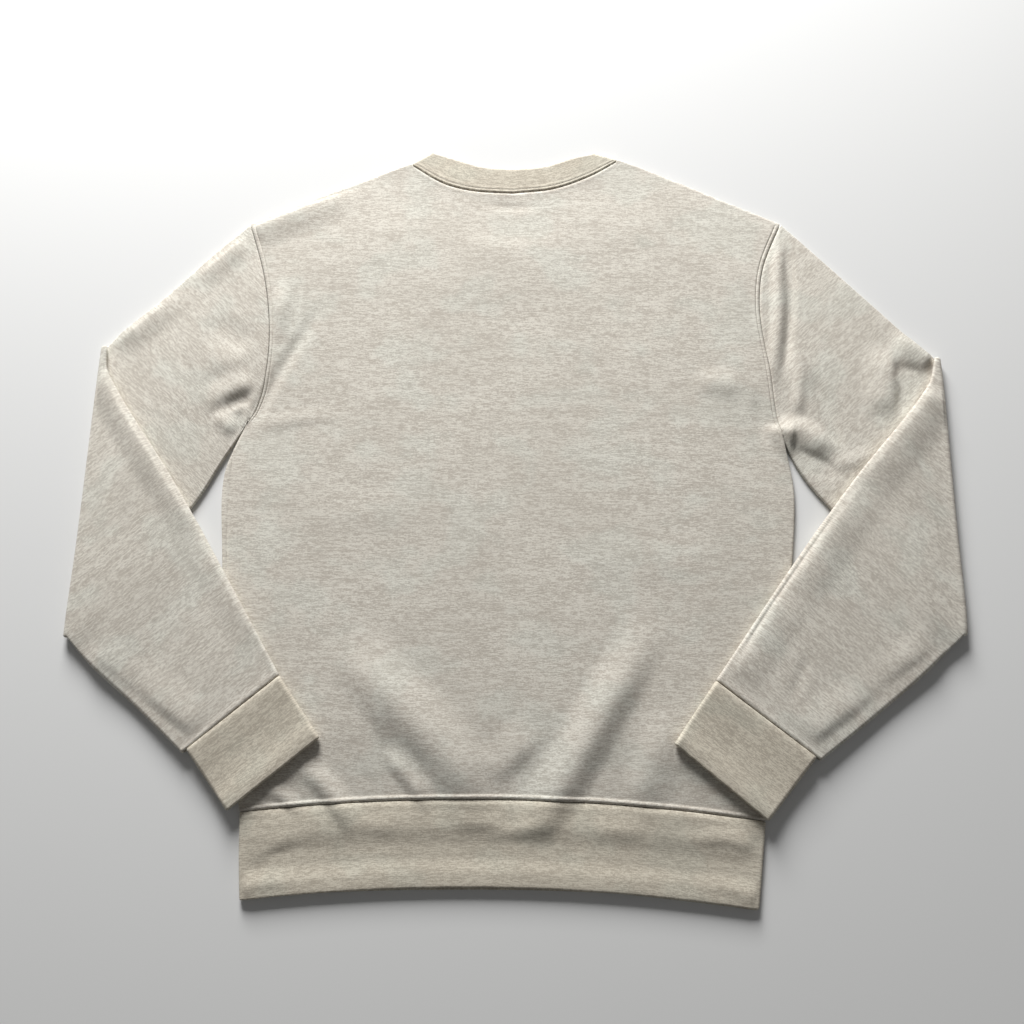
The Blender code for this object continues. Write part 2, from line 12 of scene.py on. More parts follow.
import bmesh
import bpy
import numpy as np
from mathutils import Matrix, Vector


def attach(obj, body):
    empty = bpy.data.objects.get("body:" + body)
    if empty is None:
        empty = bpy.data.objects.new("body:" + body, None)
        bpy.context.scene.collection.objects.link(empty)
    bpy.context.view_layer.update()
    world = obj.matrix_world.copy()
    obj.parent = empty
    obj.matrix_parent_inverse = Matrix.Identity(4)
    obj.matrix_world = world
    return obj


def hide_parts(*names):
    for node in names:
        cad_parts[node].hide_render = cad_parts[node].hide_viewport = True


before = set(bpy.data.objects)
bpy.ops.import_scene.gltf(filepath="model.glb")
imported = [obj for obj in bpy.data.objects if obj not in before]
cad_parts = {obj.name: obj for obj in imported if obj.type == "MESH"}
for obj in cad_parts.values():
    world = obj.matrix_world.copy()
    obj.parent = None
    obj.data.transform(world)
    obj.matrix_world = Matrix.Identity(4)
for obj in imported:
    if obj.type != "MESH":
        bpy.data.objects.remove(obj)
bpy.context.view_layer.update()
print("solids:", sorted(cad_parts))

# %% [markdown]
# ## Camera
# The garment was seen from almost straight above, with the camera 0.9 m up and tilted by 11.8 degrees
# towards the collar. A 36 mm lens on a 36 mm sensor gives the same angle of view.

# %% Camera
CAMERA_PLACE = (-0.0025, -0.1998, 0.907)
CAMERA_TILT, CAMERA_TURN = radians(11.8), radians(0.983)


def new_object(name, data):
    """An object in the scene that holds the data."""
    thing = bpy.data.objects.new(name, data)
    bpy.context.scene.collection.objects.link(thing)
    return thing


camera = new_object("camera", bpy.data.cameras.new("camera"))
camera.data.lens = camera.data.sensor_width = 36.0
camera.location = CAMERA_PLACE
camera.rotation_euler = (CAMERA_TILT, 0.0, CAMERA_TURN)
bpy.context.scene.camera = camera
print("camera", CAMERA_PLACE)

# %% [markdown]
# ## Pattern points
# A pattern maker keeps a garment as a few points on each edge. The tables below hold those points for
# both sides of the body, in millimetres: x out from the centre line, y up from the hem, and heights from
# the surface that the garment lies on. They are the same points as in the solids, so the fine shells
# keep the solids' outline, and only creases and seams go a little past it.

# %% Pattern points
MM = 0.001
BOX_MIDDLE = (10.8, 346.3)   # plan middle of the whole garment, which is the origin
LEFT, RIGHT = -1, 1          # the wearer's sides; the left one lies on -X because the back is up
SIDES = (LEFT, RIGHT)
SIDE_NAMES = {LEFT: "left", RIGHT: "right"}

FLEECE, RIB = 1.8, 2.4       # thickness of the walls
SEAM = 0.3                   # gap between pieces that are sewn together
LAYER_GAP = 0.6              # air between layers that lie on each other

# heights of the middle of the upper wall, and distances from an edge over which it gets there
RIM_HEIGHT, EDGE_HEIGHT, FLAT_HEIGHT = 3.0, 3.7, 4.2
RIM_WIDTH, EDGE_WIDTH = 2.5, 15.0
PUFF, PUFF_REACH = 2.0, 75.0
FOREARM_PUFF, FOREARM_PUFF_REACH = 0.8, 30.0
FOLD_CALM, NECK_CALM = 40.0, 45.0      # the cloth is flatter this near to a sleeve's fold or a neck point
DRAPE_REACH = 32.0                     # a forearm's lower layer comes down to the floor over this distance
BRIDGE_LEVEL, BRIDGE_REACH, BRIDGE_SAG = 6.4, 90.0, 0.42   # a forearm's upper layer spans the gap
LAYER_AIR = 0.15                       # least air between an upper and a lower layer

SLEEVE_EDGE_RADIUS = (EDGE_HEIGHT - FLEECE / 2) / 2
RIB_EDGE_RADIUS = (FLAT_HEIGHT - RIB / 2) / 2
SLEEVE_FOLD_RADIUS = (RIB / 2 + LAYER_GAP + FLEECE / 2 + 2 * SLEEVE_EDGE_RADIUS) / 2
NECK_BAND_WIDTH = 24.0
FRONT_NECK_DROP = 92.0
HEM_BOW = 14.0
BOW_POINTS = 41

Place = namedtuple("Place", "name left_x left_y right_x right_y")

# points at which edges meet
NECK_POINT = Place("neck point", 98, 678, 101, 686)
TIP = Place("shoulder tip", 250, 612, 257, 621)
UNDERARM = Place("underarm", 242, 410, 252, 406)
ELBOW = Place("elbow", 374.5, 485.5, 395, 487.5)
FOLD_FOOT = Place("lower end of the fold", 381.5, 215.5, 401.5, 230.5)
WRIST = Place("inner side of the wrist", 194, 186, 184, 188)
HEM_TOP = Place("side end of the hem seam", 222, 71, 225, 71)

SHOULDER = (
    NECK_POINT,
    Place("middle", 166, 650, 150, 667),
    Place("outer", 203, 634, 197.5, 646.5),
    TIP,
)
ARMHOLE = (
    TIP,
    Place("upper", 232, 555, 238, 573),
    Place("deepest", 224, 500, 234, 529),
    Place("lower", 226, 452, 242, 469),
    Place("curve", 233, 426, 247, 427),
    UNDERARM,
)
SLEEVE_TOP = (
    TIP,
    Place("upper", 286, 577, 283.5, 595.5),
    Place("middle", 329, 532, 332.5, 547.5),
    Place("lower", 361, 502.5, 371, 509.5),
    ELBOW,
)
SLEEVE_UNDER = (
    UNDERARM,
    Place("upper", 260, 379, 269, 373),
    Place("lower", 285, 334, 294, 342),
    FOLD_FOOT,
)
SLEEVE_FOLD = (
    ELBOW,
    Place("upper", 375.5, 452, 396.5, 458),
    Place("middle", 378.7, 300, 399.5, 324),
    Place("lower", 381, 240, 402, 254),
    FOLD_FOOT,
)
FOREARM_INNER = (
    ELBOW,
    Place("upper", 370, 459, 386.5, 460),
    Place("middle", 303, 361, 317, 374),
    Place("lower", 254, 284, 259, 296),
    WRIST,
)
FOREARM_LOWER = (
    FOLD_FOOT,
    Place("upper", 360, 192, 366, 196),
    Place("lower", 318.5, 157.5, 319.5, 157.5),
    Place("cuff", 274, 119, 273, 122),
)
CUFF_INNER = (
    WRIST,
    Place("end", 156, 134, 147, 134),
)
CUFF_LOWER = (
    Place("seam", 270.5, 121.8, 269.5, 124.5),
    Place("end", 231.5, 72, 226, 71.5),
)
SIDE = (
    HEM_TOP,
    Place("lower", 240, 160, 242, 165),
    Place("waist", 254, 300, 257, 305),
    Place("swell", 257, 364, 260, 360),
    UNDERARM,
)
HEM_SIDE = (
    HEM_TOP,
    Place("middle", 220, 33, 221, 33),
    Place("corner", 217, 0, 217, 0),
)
NECK_SEAM = (
    NECK_POINT,
    Place("shoulder", 67, 658, 75, 668),
    Place("inner", 38, 650.5, 40, 654),
    Place("centre", 0, 648.5, 0, 648.5),
)
NECK_FREE = (
    Place("neck point", 77.5, 691, 77, 693),
    Place("shoulder", 55, 683, 57, 686),
    Place("inner", 30, 675.5, 31, 677),
    Place("centre", 0, 673.5, 0, 673.5),
)
UPPER_EDGES = (SHOULDER, ARMHOLE, SLEEVE_TOP, SLEEVE_UNDER, SLEEVE_FOLD)
print(len(SIDES), "sides,", sum(map(len, UPPER_EDGES)), "points on the edges of a shoulder and sleeve")

# %% [markdown]
# ## Curves through the points
# Blender's own curves could join these points, but plain arrays are easier to sample at any distance.
# Each helper does one job: a smooth line through the points, points at given shares of a line, a line
# moved sideways, and the distance from a point to some lines.

# %% Curve helpers
def ease(value):
    """0 to 1 with level ends."""
    value = np.clip(value, 0.0, 1.0)
    return value * value * (3.0 - 2.0 * value)


def smooth(points, pieces=10):
    """A curve through the points, whose tangents follow their neighbours."""
    slopes = np.gradient(points, axis=0)
    slopes /= np.hypot(*slopes.T)[:, None]
    line = [points[:1]]
    t = (np.arange(1, pieces + 1) / pieces)[:, None]
    for here, there, leave, arrive in zip(points[:-1], points[1:], slopes[:-1], slopes[1:]):
        span = np.hypot(*(there - here))
        line.append((2 * t**3 - 3 * t**2 + 1) * here + (t**3 - 2 * t**2 + t) * span * leave
                    + (3 * t**2 - 2 * t**3) * there + (t**3 - t**2) * span * arrive)
    return np.vstack(line)


def plan_points(places, side):
    """The points of a table of places on one side of the garment."""
    if side == LEFT:
        return np.array([(-place.left_x, place.left_y) for place in places], float)
    return np.array([(place.right_x, place.right_y) for place in places], float)


def edge(places, side):
    return smooth(plan_points(places, side))


def line_length(line):
    return np.hypot(*np.diff(line, axis=0).T).sum()


def along(line, shares):
    """Points at the given shares of a line's length."""
    steps = np.hypot(*np.diff(line, axis=0).T)
    reach = np.concatenate(([0.0], np.cumsum(steps)))
    wanted = np.asarray(shares) * reach[-1]
    return np.column_stack([np.interp(wanted, reach, line[:, axis]) for axis in (0, 1)])


def evenly(line, count):
    return along(line, np.linspace(0.0, 1.0, count))


def shifted(line, amount):
    """A line moved sideways, to the left of its own direction for a positive amount."""
    runs = np.gradient(line, axis=0)
    runs /= np.hypot(*runs.T)[:, None]
    return line + amount * np.column_stack([-runs[:, 1], runs[:, 0]])


def distance(lines, plan):
    """Distance from each plan point to the nearest of some lines."""
    nearest = np.full(plan.shape[:-1], np.inf)
    for line in lines:
        for start, end in zip(line[:-1], line[1:]):
            run = end - start
            if not run.any():
                continue
            share = np.clip((plan - start) @ run / (run @ run), 0.0, 1.0)
            away = plan - start - share[..., None] * run
            nearest = np.minimum(nearest, np.hypot(away[..., 0], away[..., 1]))
    return nearest


def inside(outline, plan):
    """Whether each plan point lies within a closed outline."""
    x, y = plan[..., 0], plan[..., 1]
    odd = np.zeros(x.shape, bool)
    for (x0, y0), (x1, y1) in zip(outline, np.roll(outline, -1, axis=0)):
        if y0 != y1:
            odd ^= ((y0 > y) != (y1 > y)) & (x < x0 + (y - y0) * (x1 - x0) / (y1 - y0))
    return odd


def bowed(left_end, right_end):
    """A hem line, bowed up between its two ends."""
    x = np.linspace(left_end[0], right_end[0], BOW_POINTS)
    middle, half = (left_end[0] + right_end[0]) / 2, (right_end[0] - left_end[0]) / 2
    level = np.interp(x, (left_end[0], right_end[0]), (left_end[1], right_end[1]))
    return np.column_stack([x, level + HEM_BOW * (1 - ((x - middle) / half) ** 2)])


SEAM_OF_HEM = bowed(edge(HEM_SIDE, LEFT)[0], edge(HEM_SIDE, RIGHT)[0])
FOOT_OF_HEM = bowed(edge(HEM_SIDE, LEFT)[-1], edge(HEM_SIDE, RIGHT)[-1])
FREE_EDGES = [edge(places, side) for side in SIDES
              for places in (SHOULDER, SLEEVE_TOP, SLEEVE_UNDER, SIDE, HEM_SIDE)]
SLEEVE_FOLDS = [edge(SLEEVE_FOLD, side) for side in SIDES]
NECK_POINTS = [edge(NECK_SEAM, side)[0] for side in SIDES]
NECK_SEAMS = [edge(NECK_SEAM, side) for side in SIDES]


def half_outline(side):
    """One side of the layers that lie below the forearms, from hem corner to neck point."""
    return np.vstack([edge(HEM_SIDE, side)[::-1], edge(SIDE, side), edge(SLEEVE_UNDER, side),
                      edge(SLEEVE_FOLD, side)[::-1], edge(SLEEVE_TOP, side)[::-1],
                      edge(SHOULDER, side)[::-1]])


LYING_OUTLINE = np.vstack([half_outline(LEFT), half_outline(RIGHT)[::-1]])
print("body and upper sleeves span %.0f mm" % np.ptp(LYING_OUTLINE[:, 0]))

# %% [markdown]
# ## Folds and creases
# Soft cloth never lies flat. Long folds rise over the lower back, where the body was pushed together, and
# they run on into the hem. Shorter creases lie at the underarms, the shoulders and the elbows. Simulated
# cloth would put its folds where it likes, so each one is placed here, as a ridge or a trough
# along a short path, with its own height and a different width on each side.

# %% Folds and creases
# a width for each side of the path, and the shares of the path over which it rises and runs out
Crease = namedtuple("Crease", "name path height left_width right_width head foot")
CREASE_PIECES = 5     # steps between two points of a path

FOLDS = (
    Crease("left of centre",
           ((-146, 224), (-102, 173), (-75, 146), (-53, 124), (-30, 95), (-20, 76), (-12, 58)),
           6.4, 38, 31, 0.36, 0.3),
    Crease("right of centre", ((138, 252), (108, 194), (88, 160), (71, 129), (51, 96), (29, 68), (5, 52)),
           6.0, 24, 30, 0.4, 0.3),
    Crease("right of that", ((149, 172), (132, 126), (121, 92), (112, 70)), 3.4, 30, 24, 0.5, 0.35),
    Crease("beside left cuff", ((-176, 117), (-155, 97), (-140, 81), (-129, 64), (-120, 52)),
           3.5, 16, 12, 0.35, 0.35),
    Crease("nearer the corner", ((-206, 96), (-186, 85), (-166, 70)), 2.2, 10, 9, 0.4, 0.4),
    Crease("small bulge", ((-102, 128), (-84, 107), (-69, 88), (-60, 72)), 3.3, 17, 11, 0.4, 0.35),
    Crease("between the two", ((34, 146), (10, 122), (-12, 98)), 2.3, 16, 28, 0.4, 0.3),
)
CREASES = (
    Crease("thin one at left", ((-113, 168), (-106, 148), (-99, 124)), 0.8, 6, 4, 0.4, 0.4),
    Crease("first wrinkle", ((-128, 130), (-119, 118), (-113, 98)), 0.5, 5, 4, 0.4, 0.4),
    Crease("second wrinkle", ((-138, 123), (-130, 107), (-125, 92)), 0.4, 5, 5, 0.4, 0.4),
    Crease("from left shoulder", ((-172, 540), (-194, 498), (-211, 465), (-225, 436), (-236, 408)),
           -2.0, 11, 10, 0.5, 0.15),
    Crease("under collar", ((-36, 639), (-2, 634), (34, 637)), -0.7, 5, 9, 0.4, 0.4),
    Crease("below collar", ((-70, 598), (0, 588), (72, 604)), 0.9, 20, 44, 0.4, 0.4),
    Crease("left shoulder", ((-248, 605), (-222, 618), (-190, 632), (-140, 652)), 2.9, 5, 28, 0.08, 0.6),
    Crease("beside left armhole", ((-212, 560), (-213, 524), (-212, 486)), 2.9, 9, 13, 0.5, 0.5),
    Crease("left sleeve top, lower", ((-371, 482), (-340, 513), (-303, 547)), 2.6, 6, 22, 0.3, 0.5),
    Crease("left sleeve top, upper", ((-304, 545), (-276, 574), (-249, 600)), 2.2, 6, 20, 0.5, 0.3),
    Crease("left sleeve dip", ((-288, 512), (-261, 501), (-234, 488)), -1.2, 20, 20, 0.35, 0.3),
    Crease("left sleeve bulge", ((-288, 468), (-264, 471), (-240, 468)), 1.6, 24, 22, 0.4, 0.3),
    Crease("left underarm ridge", ((-286, 423), (-266, 438), (-250, 447), (-233, 453)),
           2.9, 20, 11, 0.6, 0.2),
    Crease("left underarm hollow", ((-261, 429), (-249, 434), (-236, 439)), -2.4, 8, 8, 0.35, 0.3),
    Crease("left underarm knob", ((-270, 424), (-258, 413), (-248, 403)), 2.6, 9, 10, 0.4, 0.4),
    Crease("left underarm loop",
           ((-255, 424), (-249, 428), (-244, 428), (-240, 423), (-240, 416), (-242, 411)),
           1.3, 3.2, 3.2, 0.2, 0.2),
    Crease("left underarm slit", ((-246, 426), (-245, 415), (-244, 401)), -1.8, 3, 3, 0.3, 0.2),
    Crease("below left underarm", ((-234, 411), (-191, 418), (-140, 422)), 0.7, 12, 10, 0.3, 0.6),
    Crease("left elbow", ((-370, 480), (-366, 458), (-357, 438)), 1.0, 4, 4, 0.3, 0.5),
    Crease("left sleeve streak", ((-308, 486), (-297, 466), (-285, 444)), -0.5, 5, 5, 0.4, 0.4),
    Crease("left sleeve fan", ((-279, 483), (-273, 466), (-270, 447)), -0.5, 5, 5, 0.4, 0.4),
    Crease("right sleeve roll", ((254, 608), (252, 570), (251, 530), (247, 490), (244, 450)),
           3.3, 8, 9, 0.2, 0.3),
    Crease("right sleeve groove", ((263, 602), (263.5, 550), (260, 510), (253, 462)), -2.9, 7, 6, 0.22, 0.3),
    Crease("left of right armhole", ((218, 574), (226, 539), (230, 500)), -0.7, 8, 8, 0.4, 0.4),
    Crease("right underarm hood", ((248, 413), (257, 416), (269, 414), (282, 404), (293, 386)),
           4.6, 17, 20, 0.15, 0.4),
    Crease("right of the side seam", ((235, 409), (245, 413), (262, 411)), 3.4, 10, 36, 0.4, 0.1),
    Crease("right sleeve rise", ((268, 505), (268, 462), (264, 426)), 2.4, 9, 9, 0.6, 0.2),
    Crease("right sleeve trough", ((276, 482), (285, 457), (294, 429), (305, 396)), -2.8, 9, 11, 0.4, 0.25),
    Crease("right underarm hollow", ((262, 394), (281, 388), (302, 370)), -2.2, 9, 16, 0.2, 0.4),
    Crease("right elbow hollow", ((353, 477), (368, 475), (386, 476)), -2.0, 8, 14, 0.25, 0.25),
    Crease("right elbow hollow, down", ((370, 490), (367, 462), (358, 425)), -3.0, 13, 10, 0.6, 0.35),
    Crease("right sleeve top edge", ((358, 514), (376, 499), (393, 484)), 4.6, 5, 30, 0.5, 0.1),
    Crease("right sleeve band", ((354, 500), (350, 466), (348, 426)), 3.6, 11, 30, 0.35, 0.3),
    Crease("right sleeve low", ((296, 382), (315, 386), (338, 396)), 1.5, 12, 8, 0.3, 0.3),
    Crease("right of the back", ((168, 462), (194, 459), (220, 452)), 1.7, 18, 18, 0.4, 0.4),
    Crease("beside right side", ((228, 452), (231, 423), (237, 400)), -1.2, 9, 9, 0.4, 0.4),
    Crease("left side seam", ((-250, 392), (-250.5, 345), (-249.5, 300), (-247, 270)),
           -0.9, 1.7, 1.7, 0.1, 0.1),
    Crease("across the left back", ((-190, 336), (-120, 330), (-40, 338)), 0.5, 30, 24, 0.4, 0.5),
    Crease("across the right back", ((40, 300), (130, 290), (214, 306)), 0.6, 30, 26, 0.5, 0.4),
    Crease("below the yoke", ((-120, 560), (-20, 548), (90, 566)), 0.6, 40, 30, 0.5, 0.5),
)
FOREARM_CREASES = (
    Crease("left inner roll", ((-377, 468), (-364, 439), (-331.5, 391), (-300.5, 346), (-265, 292)),
           3.4, 6, 22, 0.12, 0.35),
    Crease("left inner roll, lower", ((-282, 318), (-260, 284), (-236, 246), (-208, 199)),
           2.0, 6, 22, 0.3, 0.4),
    Crease("left lower edge, outer", ((-374, 220), (-338, 191), (-301, 166)), 1.2, 22, 10, 0.5, 0.6),
    Crease("left lower edge, cuff", ((-330, 188), (-290, 159), (-258, 136)), 1.9, 28, 11, 0.6, 0.2),
    Crease("right inner roll", ((395, 459), (375, 434), (344, 396), (310, 352)), 3.7, 33, 11, 0.12, 0.35),
    Crease("right inner roll, middle", ((333, 378), (309, 347), (276, 299), (243, 252)),
           2.8, 31, 12, 0.35, 0.3),
    Crease("right inner roll, lower", ((256, 273), (230, 234), (208, 202), (195, 182)),
           2.3, 28, 13, 0.3, 0.25),
    Crease("right pressed crease", ((300, 345), (262, 293), (227, 243), (204, 207)), -1.3, 3, 3, 0.2, 0.2),
    Crease("right lower edge, outer", ((386, 233), (343, 203), (307, 176)), 1.2, 10, 22, 0.5, 0.6),
    Crease("right lower edge, cuff", ((330, 191), (288, 160), (259, 138)), 1.9, 11, 28, 0.6, 0.2),
    Crease("right streak", ((268, 218), (254, 186), (244, 163)), -0.8, 9, 9, 0.4, 0.4),
)
UNDER_CREASES = (
    Crease("chest", ((-120, 470), (-40, 452), (60, 470)), 1.1, 26, 18, 0.4, 0.4),
    Crease("left of waist", ((-150, 300), (-128, 240), (-96, 196)), 1.0, 18, 24, 0.4, 0.4),
    Crease("right of waist", ((140, 330), (112, 262), (84, 208)), 1.2, 22, 16, 0.4, 0.4),
    Crease("across the middle", ((-60, 340), (10, 322), (70, 336)), 0.8, 16, 24, 0.4, 0.4),
    Crease("above the hem", ((-40, 150), (-14, 122), (6, 100)), 1.0, 14, 18, 0.4, 0.4),
    Crease("above the hem, right", ((128, 156), (112, 130), (98, 106)), 0.8, 12, 16, 0.4, 0.4),
    Crease("under the left sleeve", ((-338, 466), (-310, 436), (-290, 400)), 0.8, 16, 20, 0.4, 0.4),
    Crease("under the right sleeve", ((300, 538), (322, 500), (346, 456)), 0.8, 18, 16, 0.4, 0.4),
)
HEM_CREASES = (
    Crease("left dent", ((-214, 31), (-198, 40), (-180, 48), (-160, 52)), 0.9, 12, 8, 0.2, 0.5),
    Crease("right dent", ((150, 55), (180, 57), (196, 56), (214, 50)), 1.0, 12, 9, 0.5, 0.2),
    Crease("under left fold", ((-44, 66), (-17, 66), (8, 64)), 0.7, 10, 9, 0.4, 0.4),
    Crease("under right fold", ((54, 72), (25, 62), (-20, 55)), 0.9, 12, 9, 0.3, 0.5),
    Crease("right of middle", ((112, 74), (151, 75), (200, 69)), 0.7, 7, 12, 0.4, 0.4),
    Crease("left lobe", ((-128, 66), (-101, 62), (-80, 66)), 0.7, 10, 12, 0.4, 0.4),
    Crease("right lobe", ((72, 66), (96, 62), (124, 62)), 0.7, 10, 12, 0.4, 0.4),
    Crease("left corner", ((-217, 8), (-197, 14), (-160, 18)), 0.8, 14, 8, 0.1, 0.6),
    Crease("right corner", ((160, 20), (192, 17), (215, 8)), 0.8, 14, 8, 0.6, 0.1),
)


def crease_height(plan, crease):
    """Height that one crease adds at plan points."""
    path = smooth(np.array(crease.path, float), CREASE_PIECES)
    reach = max(crease.left_width, crease.right_width)
    close = np.all((plan > path.min(0) - reach) & (plan < path.max(0) + reach), axis=-1)
    height = np.zeros(close.shape)
    near = plan[close]
    length = line_length(path)
    nearest = np.full(len(near), np.inf)
    share, aside = np.zeros(len(near)), np.zeros(len(near))
    done = 0.0
    for start, end in zip(path[:-1], path[1:]):
        run = end - start
        span = np.hypot(*run)
        part = np.clip((near - start) @ run / span**2, 0.0, 1.0)
        away = near - start - part[:, None] * run
        gap = np.hypot(away[:, 0], away[:, 1])
        closer = gap < nearest
        side = np.sign(away @ np.array([run[1], -run[0]]))      # right of the path is positive
        nearest = np.where(closer, gap, nearest)
        share = np.where(closer, (done + part * span) / length, share)
        aside = np.where(closer, side, aside)
        done += span
    width = np.where(aside < 0, crease.left_width, crease.right_width)
    height[close] = (crease.height * ease(share / crease.head) * ease((1 - share) / crease.foot)
                     * ease(1 - nearest / width))
    return height


def creased(plan, creases):
    return sum((crease_height(plan, crease) for crease in creases), np.zeros(plan.shape[:-1]))


def calm_height(plan):
    """Middle of the upper wall of the body and the upper sleeves, without folds or creases."""
    free = distance(FREE_EDGES, plan)
    calm = ease(distance(SLEEVE_FOLDS, plan) / FOLD_CALM)
    sewn = distance([SEAM_OF_HEM, *NECK_SEAMS], plan)
    height = RIM_HEIGHT + (EDGE_HEIGHT - RIM_HEIGHT) * ease(free / RIM_WIDTH)
    height += calm * (FLAT_HEIGHT - EDGE_HEIGHT) * ease(free / EDGE_WIDTH)
    height += calm * PUFF * ease(free / PUFF_REACH) * ease(sewn / PUFF_REACH)
    for point in NECK_POINTS:
        near = ease(2 - 2 * np.hypot(*np.moveaxis(plan - point, -1, 0)) / NECK_CALM)
        height += near * np.maximum(FLAT_HEIGHT - height, 0)
    return height


def top_height(plan):
    """Middle of the upper wall of the body and the upper sleeves."""
    height = calm_height(plan) + creased(plan, FOLDS) + creased(plan, CREASES)
    return np.maximum(height, floor_layer(FLEECE)(plan) + FLEECE + LAYER_AIR)


def support_height(plan):
    """Upper side of what a forearm lies on, coming down to the floor around it."""
    outside = np.where(inside(LYING_OUTLINE, plan), 0.0, distance([LYING_OUTLINE], plan))
    on_cloth = np.maximum(top_height(plan), EDGE_HEIGHT) + RIB / 2
    return on_cloth * (1 - ease(outside / DRAPE_REACH))


def bridge_height(plan):
    """Upper side of what carries a forearm's upper layer, which spans the gap beside the body."""
    outside = np.where(inside(LYING_OUTLINE, plan), 0.0, distance([LYING_OUTLINE], plan))
    bridge = BRIDGE_LEVEL * (1 - BRIDGE_SAG * ease(outside / BRIDGE_REACH))
    on_cloth = np.where(outside > 0, 0.0, np.maximum(calm_height(plan), EDGE_HEIGHT) + RIB / 2)
    return np.maximum(bridge, on_cloth)


def floor_layer(wall):
    """Heights of a wall that lies on the floor, but for a few shallow creases."""
    return lambda plan: wall / 2 + creased(plan, UNDER_CREASES)


def resting_layer(wall):
    """Heights of a forearm's or cuff's wall that lies on what is below it."""
    return lambda plan: support_height(plan) + LAYER_GAP + wall / 2


print(len(FOLDS), "folds,", sum(map(len, (CREASES, FOREARM_CREASES, UNDER_CREASES, HEM_CREASES))), "creases")

# %% [markdown]
# ## From a grid to a shell of cloth
# Cloth has two faces and a thickness, even at its rims. A Solidify modifier could thicken a sheet, but it
# leaves square rims. Here each piece starts as a grid through the middle of its cloth. The outer and the
# inner face lie half a thickness to either side, and a half round joins them along every open edge, which
# is how turned and sewn cloth looks. Each grid point also keeps its place on the flat cloth in metres as a
# UV map, so that the yarn follows the knitting and not the room.

# %% Shell helper
RIM_ANGLES = (0.25 * pi, 0.5 * pi, 0.75 * pi)


def in_metres(points):
    """Pattern millimetres to the frame of the solids."""
    points = np.array(points, float)
    points[..., 0] -= BOX_MIDDLE[0]
    points[..., 1] -= BOX_MIDDLE[1]
    return points * MM


def unit(vectors):
    lengths = np.linalg.norm(vectors, axis=-1, keepdims=True)
    return vectors / np.where(lengths == 0, 1.0, lengths)


def change(points, axis, closed):
    if closed:
        return np.roll(points, -1, axis) - np.roll(points, 1, axis)
    return np.gradient(points, axis=axis)


def open_loops(row_count, column_count, round_rows, round_columns):
    """Rows of grid indices that go round each open edge."""
    index = np.arange(row_count * column_count).reshape(row_count, column_count)
    if round_rows:
        return [index[:, 0], index[:, -1]]
    if round_columns:
        return [index[0], index[-1]]
    return [np.concatenate([index[0, :-1], index[:-1, -1], index[-1, :0:-1], index[:0:-1, 0]])]


def way_out(rows, round_rows, round_columns):
    """The direction out of the cloth at its open edges."""
    out = np.zeros_like(rows)
    if not round_rows:
        out[0] += unit(rows[0] - rows[1])
        out[-1] += unit(rows[-1] - rows[-2])
    if not round_columns:
        out[:, 0] += unit(rows[:, 0] - rows[:, 1])
        out[:, -1] += unit(rows[:, -1] - rows[:, -2])
    return out


def skin_quads(row_count, column_count, round_rows, round_columns, offset):
    """Faces of a grid of points, closed round either way on request."""
    index = np.arange(row_count * column_count).reshape(row_count, column_count) + offset
    if round_rows:
        index = np.vstack([index, index[:1]])
    if round_columns:
        index = np.hstack([index, index[:, :1]])
    return np.stack([index[:-1, :-1], index[1:, :-1], index[1:, 1:], index[:-1, 1:]], -1).reshape(-1, 4)


def make_shell(name, rows, flat, wall, material, round_rows=False, round_columns=False):
    """A closed shell of even thickness about a grid of points; flat is each point's place on the cloth."""
    row_count, column_count = rows.shape[:2]
    normals = unit(np.cross(change(rows, 0, round_rows), change(rows, 1, round_columns)))
    out = way_out(rows, round_rows, round_columns)
    out = unit(out - np.sum(out * normals, -1, keepdims=True) * normals)
    middle, normals, out = (grid.reshape(-1, 3) for grid in (rows, normals, out))
    flat = flat.reshape(-1, 2)
    half = wall / 2
    points = [middle + half * normals, middle - half * normals]
    places = [flat, flat]
    quads = [skin_quads(row_count, column_count, round_rows, round_columns, 0),
             skin_quads(row_count, column_count, round_rows, round_columns, len(middle))]
    total = 2 * len(middle)
    for loop in open_loops(row_count, column_count, round_rows, round_columns):
        rings = [loop]
        for angle in RIM_ANGLES:
            points.append(middle[loop] + half * (cos(angle) * normals[loop] + sin(angle) * out[loop]))
            places.append(flat[loop])
            rings.append(np.arange(total, total + len(loop)))
            total += len(loop)
        rings.append(loop + len(middle))
        for ring, following in zip(rings[:-1], rings[1:]):
            quads.append(np.column_stack([ring, np.roll(ring, -1), np.roll(following, -1), following]))
    quads, places = np.vstack(quads), np.vstack(places)
    mesh = bpy.data.meshes.new(name)
    mesh.from_pydata(in_metres(np.vstack(points)), [], quads)
    body = bmesh.new()
    body.from_mesh(mesh)
    bmesh.ops.recalc_face_normals(body, faces=body.faces)
    body.to_mesh(mesh)
    body.free()
    corners = np.empty(len(mesh.loops), int)
    mesh.loops.foreach_get("vertex_index", corners)
    mesh.uv_layers.new(name="Cloth").uv.foreach_set("vector", (places[corners] * MM).ravel())
    mesh.shade_smooth()
    mesh.materials.append(material)
    area = cloth_area(rows, round_rows, round_columns)
    print("%s: %d faces, %.3f square metres of cloth" % (name, len(quads), area))
    return new_object(name, mesh)


def cloth_area(rows, round_rows, round_columns):
    """Area of the grid in square metres."""
    quads = skin_quads(*rows.shape[:2], round_rows, round_columns, 0)
    a, b, c, d = (rows.reshape(-1, 3)[quads[:, corner]] for corner in range(4))
    return np.linalg.norm(np.cross(c - a, d - b), axis=1).sum() / 2 * MM * MM


# %% [markdown]
# ## Grids between four edges
# A sewing pattern piece has four sides more often than not. A Coons patch fills the space between four
# curves with a grid whose outer lines are those curves. The grid lines stand close together beside the
# edges, where the seams need fine detail, and a few millimetres apart over the rest.

